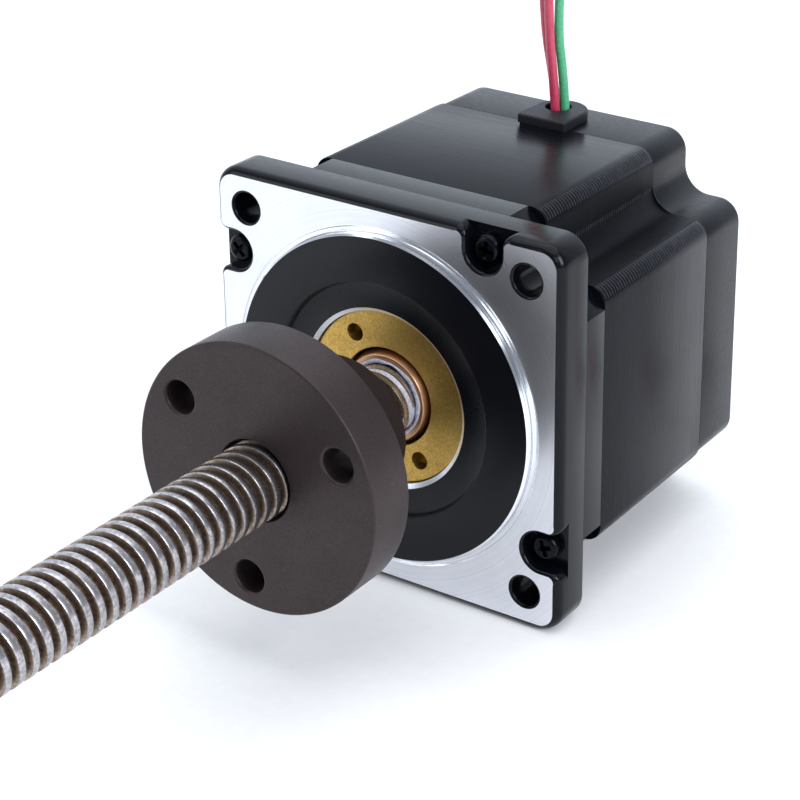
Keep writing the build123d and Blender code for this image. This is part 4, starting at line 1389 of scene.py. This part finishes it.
@dataclass
class CoverScrews:
    """Four pan-head cross-recess screws, one at the bottom of each pocket."""

    head: float = 3.0
    head_flat: float = 1.9
    head_front: float = 1.4
    head_rear: float = 3.7
    shank: float = 1.75
    point: float = 1.15
    point_length: float = 0.8
    end: float = 68.0
    wing: float = 2.0
    blade: float = 0.5
    depth: float = 1.5
    recess_taper: float = 0.45
    least_share: float = 0.8
    cutter_front: float = 0.2
    turn_seed: int = 104

    def blank(self) -> bpy.types.Object:
        """Build one screw on the shaft's line, its head still whole.

        Returns:
            The screw without its recess.
        """
        shell = Shell()
        steps = 8
        round_over = self.head - self.head_flat
        profile = [(0.0, self.head_front), (self.head_flat, self.head_front)]
        for i in range(1, steps + 1):
            turn = math.pi / 2 * i / steps
            profile.append((self.head_flat + round_over * math.sin(turn),
                            self.head_front + round_over * (1 - math.cos(turn))))
        profile += [(self.head, self.head_rear), (self.shank, self.head_rear),
                    (self.shank, self.end - self.point_length), (self.point, self.end), (0.0, self.end)]
        shell.lathe(profile, [0], steps=48, closed=False)
        return shell.finish("cover_screw_pattern", [BLACK_OXIDE])

    def recess(self) -> bpy.types.Object:
        """Build the tapered cross that cuts the recess, out of two crossing blades.

        Returns:
            The cutter.
        """
        shell = Shell()
        front = (1.0, self.head_front - self.cutter_front)
        bottom = (self.recess_taper, self.head_front + self.depth)
        # The wings draw in towards the bottom, and each blade keeps most of its thickness
        least = self.blade * self.least_share
        for across, up in ((self.wing, self.blade), (self.blade, self.wing)):
            rows = []
            for share, depth in (front, bottom):
                x, z = max(across * share, least), max(up * share, least)
                rows.append(shell.loop([(x, z), (-x, z), (-x, -z), (x, -z)], [depth] * 4))
            shell.skin(rows[0], rows[1], 0)
            shell.cap(rows[0], [], 0)
            shell.cap(rows[1], [], 0)
        return shell.finish("cross_recess_cutter", [BLACK_OXIDE])

    def one_screw(self) -> bpy.types.Object:
        """Cut the cross recess into a screw.

        Returns:
            The finished screw, on the shaft's line.
        """
        screw, cutter = self.blank(), self.recess()
        cut = screw.modifiers.new("cross recess", "BOOLEAN")
        cut.operation = "DIFFERENCE"
        cut.solver = "EXACT"
        cut.use_self = True
        cut.object = cutter
        done = keep_plain("cover_screw_one", screw)
        bpy.data.objects.remove(cutter)
        return done

    def screw_tree(self) -> bpy.types.NodeTree:
        """Tree that sets one screw on each seed point, turned by its own angle.

        Returns:
            The tree, with the screw, the seed and the material as named inputs.
        """
        tree, entry = new_tree("cover_screw_places", {
            "Screw": "NodeSocketObject", "Seed": "NodeSocketInt", "Material": "NodeSocketMaterial"})
        given = entry.outputs
        angle = add_node(tree, "FunctionNodeRandomValue", {
            2: 0.0, 3: math.pi, "Seed": given["Seed"]}, data_type="FLOAT")
        turn = add_node(tree, "ShaderNodeCombineXYZ", {1: angle.outputs[1]})
        set_copies(tree, given["Screw"], given["Material"], {
            "Points": given["Geometry"], "Rotation": turn.outputs[0]})
        return tree

    def build(self) -> bpy.types.Object:
        """Grow the four screws from one.

        Returns:
            The four screws as one piece.
        """
        pattern = self.one_screw()
        seeds = [(x * MM, 0.0, z * MM) for x, z in screw_places()]
        screws = grow("cover_screw_set", self.screw_tree(), {
            "Screw": pattern, "Seed": self.turn_seed, "Material": material_of(BLACK_OXIDE)}, seeds)
        bpy.data.objects.remove(pattern)
        return screws


@dataclass
class Grommet:
    """Moulded grommet on top of the rear joint, in millimetres."""

    middle: float = 1.65
    half: float = 6.15
    front: float = 57.0
    centre: float = 65.25
    corner: float = 0.35
    rim: float = 0.45
    undercut: float = 0.3
    bottom: float = 43.0
    top: float = 45.4
    hole: float = 3.0
    hole_rim: float = 0.2
    hole_place: Point = (0.6, 66.1)
    hole_floor: float = 43.4
    neck: float = 4.5
    neck_front: float = 59.4
    neck_bottom: float = 37.6

    def outline(self, half: float, front: float, rim: float) -> Edge:
        """Outline of the head or the neck seen from above, square in front and round behind.

        Args:
            half: Half its width, and the radius of its round back.
            front: Place of its front edge along the shaft.
            rim: Rounding of its upper rim.

        Returns:
            The outline, as X and Y.
        """
        edge = Edge()
        small = self.corner
        edge.arc((self.middle, self.centre), half, 0, 180, (rim, rim), steps=32)
        edge.arc((self.middle - half + small, front + small), small, 180, 270, (rim, rim), steps=4)
        edge.arc((self.middle + half - small, front + small), small, 270, 360, (rim, rim), steps=4)
        return edge

    def build(self) -> bpy.types.Object:
        """Build the grommet lying on its side, then stand it up.

        Returns:
            The finished grommet.
        """
        shell = Shell()
        hole = ring_edge(self.hole, self.hole_rim, True, self.hole_place, 48)
        shell.plate(self.outline(self.half, self.front, self.rim), [hole], -self.top,
                    -self.hole_floor)
        shell.plate(self.outline(self.half - self.undercut, self.front + self.undercut, 0.0), [],
                    -self.hole_floor, -self.bottom)
        shell.plate(self.outline(self.neck, self.neck_front, 0.0), [], -self.bottom,
                    -self.neck_bottom)
        # The outlines are drawn as X and Y with their depth downwards, so they're stood up here
        for vert in shell.mesh.verts:
            x, y, z = vert.co
            vert.co = (x, z, -y)
        return shell.finish("lead_grommet_moulding", [MOULDED_RUBBER])


@dataclass(frozen=True)
class Lead:
    """One insulated lead, laid from the grommet over the motor's side to the floor.

    Attributes:
        node: The CAD node that it stands for.
        slot: The record's material slot; not used.
        finish: Its insulation.
        length: Its whole length in metres; not used.
        route: Control points of its curve in metres, from inside the grommet on.
        diameter: Its diameter over the insulation in metres.
    """

    node: str
    slot: str
    finish: Finish
    length: float
    route: tuple[Place, ...]
    diameter: float = 2.1 * MM

    def build(self) -> bpy.types.Object:
        """Make the lead as a smooth curve along its route.

        Returns:
            The curve.
        """
        name = self.node + "_wire"
        data = bpy.data.curves.new(name, "CURVE")
        data.dimensions = "3D"
        spline = data.splines.new("NURBS")
        spline.points.add(len(self.route) - 1)
        for point, place in zip(spline.points, self.route):
            point.co = (*place, 1.0)
        spline.order_u = 3
        spline.use_endpoint_u = True
        spline.resolution_u = 16
        data.bevel_depth = self.diameter / 2
        data.bevel_resolution = 6
        data.use_fill_caps = True
        data.materials.append(material_of(self.finish))
        return add_object(name, data)


LEADS = (
    Lead("lead_red_front", "red_insulation", RED_INSULATION, 0.303, (
        (0.00075, 0.0648, 0.0434), (0.0002, 0.0645, 0.052), (-0.0009, 0.0641, 0.064),
        (-0.0012, 0.0637, 0.084), (0.008, 0.0645, 0.106), (0.032, 0.068, 0.117),
        (0.058, 0.072, 0.107), (0.076, 0.076, 0.080), (0.082, 0.079, 0.042), (0.082, 0.080, 0.004),
        (0.084, 0.088, -0.030), (0.086, 0.107, -0.0418), (0.089, 0.129, -0.0418))),
    Lead("lead_red_back", "red_insulation", RED_INSULATION, 0.315, (
        (-0.0004, 0.0673, 0.0434), (-0.0012, 0.0666, 0.052), (-0.003, 0.0656, 0.064),
        (-0.0042, 0.0666, 0.084), (0.004, 0.0695, 0.108), (0.030, 0.073, 0.121),
        (0.059, 0.077, 0.112), (0.079, 0.081, 0.084), (0.086, 0.084, 0.045), (0.086, 0.085, 0.006),
        (0.088, 0.093, -0.030), (0.091, 0.112, -0.0418), (0.097, 0.133, -0.0418))),
    Lead("lead_green", "green_insulation", GREEN_INSULATION, 0.289, (
        (0.0023, 0.06635, 0.0434), (0.0016, 0.0666, 0.052), (-0.0003, 0.0666, 0.064),
        (0.0006, 0.0678, 0.084), (0.009, 0.0705, 0.101), (0.032, 0.0745, 0.111),
        (0.056, 0.079, 0.101), (0.072, 0.083, 0.075), (0.078, 0.086, 0.039), (0.078, 0.088, 0.003),
        (0.079, 0.096, -0.030), (0.080, 0.115, -0.0418), (0.080, 0.137, -0.0418))),
)


def inner_finishes() -> dict[str, Finish]:
    """Give the finish of each CAD node that stays as it is inside the motor.

    Returns:
        The finishes by the names of their nodes.
    """
    return {
        "stator_coils": VARNISHED_COPPER,
        "coil_insulator_front": MOULDED_NYLON,
        "coil_insulator_rear": MOULDED_NYLON,
        "front_bearing_outer": BEARING_STEEL,
        "front_bearing_inner": BEARING_STEEL,
        "front_bearing_balls": BEARING_STEEL,
        "front_bearing_cage": CAGE_STRIP,
        "rear_bearing_outer": BEARING_STEEL,
        "rear_bearing_inner": BEARING_STEEL,
        "rear_bearing_balls": BEARING_STEEL,
        "rear_bearing_cage": CAGE_STRIP,
        "wave_spring": BLUED_STEEL,
        "rotor_cup_front": ROTOR_STEEL,
        "rotor_cup_rear": ROTOR_STEEL,
        "rotor_magnet": SINTERED_MAGNET,
        "rotor_spacer": ROTOR_STEEL,
        "rotor_circlip": BLUED_STEEL,
    }


@dataclass(frozen=True)
class Softbox:
    """One soft rectangular light that faces the middle of the motor's front.

    Attributes:
        name: Name of the light.
        place: Where it hangs, in metres.
        size: Its width and height in metres.
        power: Its power in watts.
        colour: Its linear colour, a little blue.
    """

    name: str
    place: Place
    size: Point
    power: float
    colour: Place = (0.92, 0.95, 1.0)

    def hang(self) -> None:
        """Add the light to the scene."""
        data = bpy.data.lights.new(self.name, "AREA")
        data.shape = "RECTANGLE"
        data.size, data.size_y = self.size
        data.energy = self.power
        data.color = self.colour
        light = add_object(self.name, data)
        light.location = self.place
        light.rotation_euler = (-Vector(self.place)).to_track_quat("-Z", "Y").to_euler()


@dataclass
class Studio:
    """Pale floor, bluish surroundings, soft lights and the photograph's camera, in metres."""

    floor_height: float = -0.043
    floor_half: float = 3.0
    sky_power: float = 1.75
    sky_spread_degrees: float = 70.0
    surroundings: tuple[float, float, float, float] = (0.82, 0.90, 1.0, 1.0)
    glow_towards: Place = (-0.48, 0.84, 0.25)
    glow_start: float = 0.1
    glow_least: float = 0.30
    glow_most: float = 1.45
    softboxes: tuple[Softbox, ...] = (
        Softbox("left_front", (-0.8, -0.7, 0.5), (0.5, 0.8), 3.5),
        Softbox("right", (0.9, -0.1, 0.5), (0.4, 0.6), 8.0),
        Softbox("right_front", (0.6, -0.56, 0.51), (0.35, 0.35), 1.0),
    )
    camera_place: Place = (0.24686, -0.33110, 0.20560)
    camera_right: Place = (0.866, 0.499, 0.026)
    camera_view: Place = (-0.458, 0.814, -0.359)
    lens_mm: float = 99.01
    shift: Point = (-0.3059, -0.2638)

    def lay_floor(self) -> None:
        """Lay the paper that the motor rests on."""
        floor = bmesh.new()
        corners = [floor.verts.new((x * self.floor_half, y * self.floor_half, self.floor_height))
                   for x, y in ((-1, -1), (1, -1), (1, 1), (-1, 1))]
        floor.faces.new(corners)
        data = bpy.data.meshes.new("floor")
        floor.to_mesh(data)
        floor.free()
        data.materials.append(material_of(FLOOR_PAPER))
        add_object("floor", data)

    def light(self) -> None:
        """Light the motor from above, from three softboxes and from a glow behind it."""
        world = bpy.data.worlds.new("studio")
        world.use_nodes = True
        tree = world.node_tree
        toward = add_node(tree, "ShaderNodeVectorMath", {
            0: add_node(tree, "ShaderNodeTexCoord").outputs["Generated"], 1: self.glow_towards},
            operation="DOT_PRODUCT")
        glow = add_node(tree, "ShaderNodeMapRange", {
            0: toward.outputs["Value"], 1: self.glow_start, 2: 1.0, 3: self.glow_least,
            4: self.glow_most}, interpolation_type="SMOOTHSTEP")
        tree.nodes["Background"].inputs[0].default_value = self.surroundings
        tree.links.new(glow.outputs[0], tree.nodes["Background"].inputs[1])
        bpy.context.scene.world = world
        bpy.context.scene.view_settings.view_transform = "Standard"
        above = bpy.data.lights.new("overhead_sky", "SUN")
        above.energy = self.sky_power
        above.angle = math.radians(self.sky_spread_degrees)
        add_object("overhead_sky", above)
        for softbox in self.softboxes:
            softbox.hang()

    def set_camera(self) -> None:
        """Stand the camera where the photograph was taken, as worked out from the motor's sizes."""
        data = bpy.data.cameras.new("camera")
        data.sensor_width = 36.0
        data.lens = self.lens_mm
        data.shift_x, data.shift_y = self.shift
        data.clip_start = 0.01
        view = Vector(self.camera_view).normalized()
        up = Vector(self.camera_right).normalized().cross(view).normalized()
        right = view.cross(up).normalized()
        turn = Matrix((right, up, -view)).transposed().to_4x4()
        camera = add_object("camera", data)
        camera.matrix_world = Matrix.Translation(self.camera_place) @ turn
        bpy.context.scene.camera = camera

    def build(self) -> None:
        """Set the whole studio round the motor."""
        self.lay_floor()
        self.light()
        self.set_camera()


def main() -> None:
    """Dress the frame: build each sub-assembly in order, then the studio."""
    logging.basicConfig(level=logging.INFO, format="%(name)s: %(message)s")
    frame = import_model()
    settle(FrontCover().build(), "motor", ("front_cover",))
    stack = StatorStack()
    settle(stack.build(), "motor", ("stator_stack",))
    settle(stack.build_ribs(), "motor")
    settle(RearCover().build(), "motor", ("rear_cover",))
    settle(CoverScrews().build(), "motor", ("cover_screws",))
    bore = FrontBore()
    settle(bore.build_retainer(), "motor", ("bearing_retainer",))
    settle(bore.build_collar(), "rotor", ("screw_collar",))
    settle(bore.build_grease(), "rotor")
    screw = LeadScrew()
    settle(screw.build_core(), "rotor", ("lead_screw",))
    settle(screw.build_thread(), "rotor")
    settle(FlangeNut().build(), "nut", ("flange_nut",))
    settle(Grommet().build(), "motor", ("lead_grommet",))
    for lead in LEADS:
        wire = lead.build()
        settle(wire, "motor", (lead.node,))
    for node, finish in inner_finishes().items():
        data = frame["nodes"][node].data
        data.materials.clear()
        data.materials.append(material_of(finish))
    Studio().build()


if __name__ == "__main__":
    main()
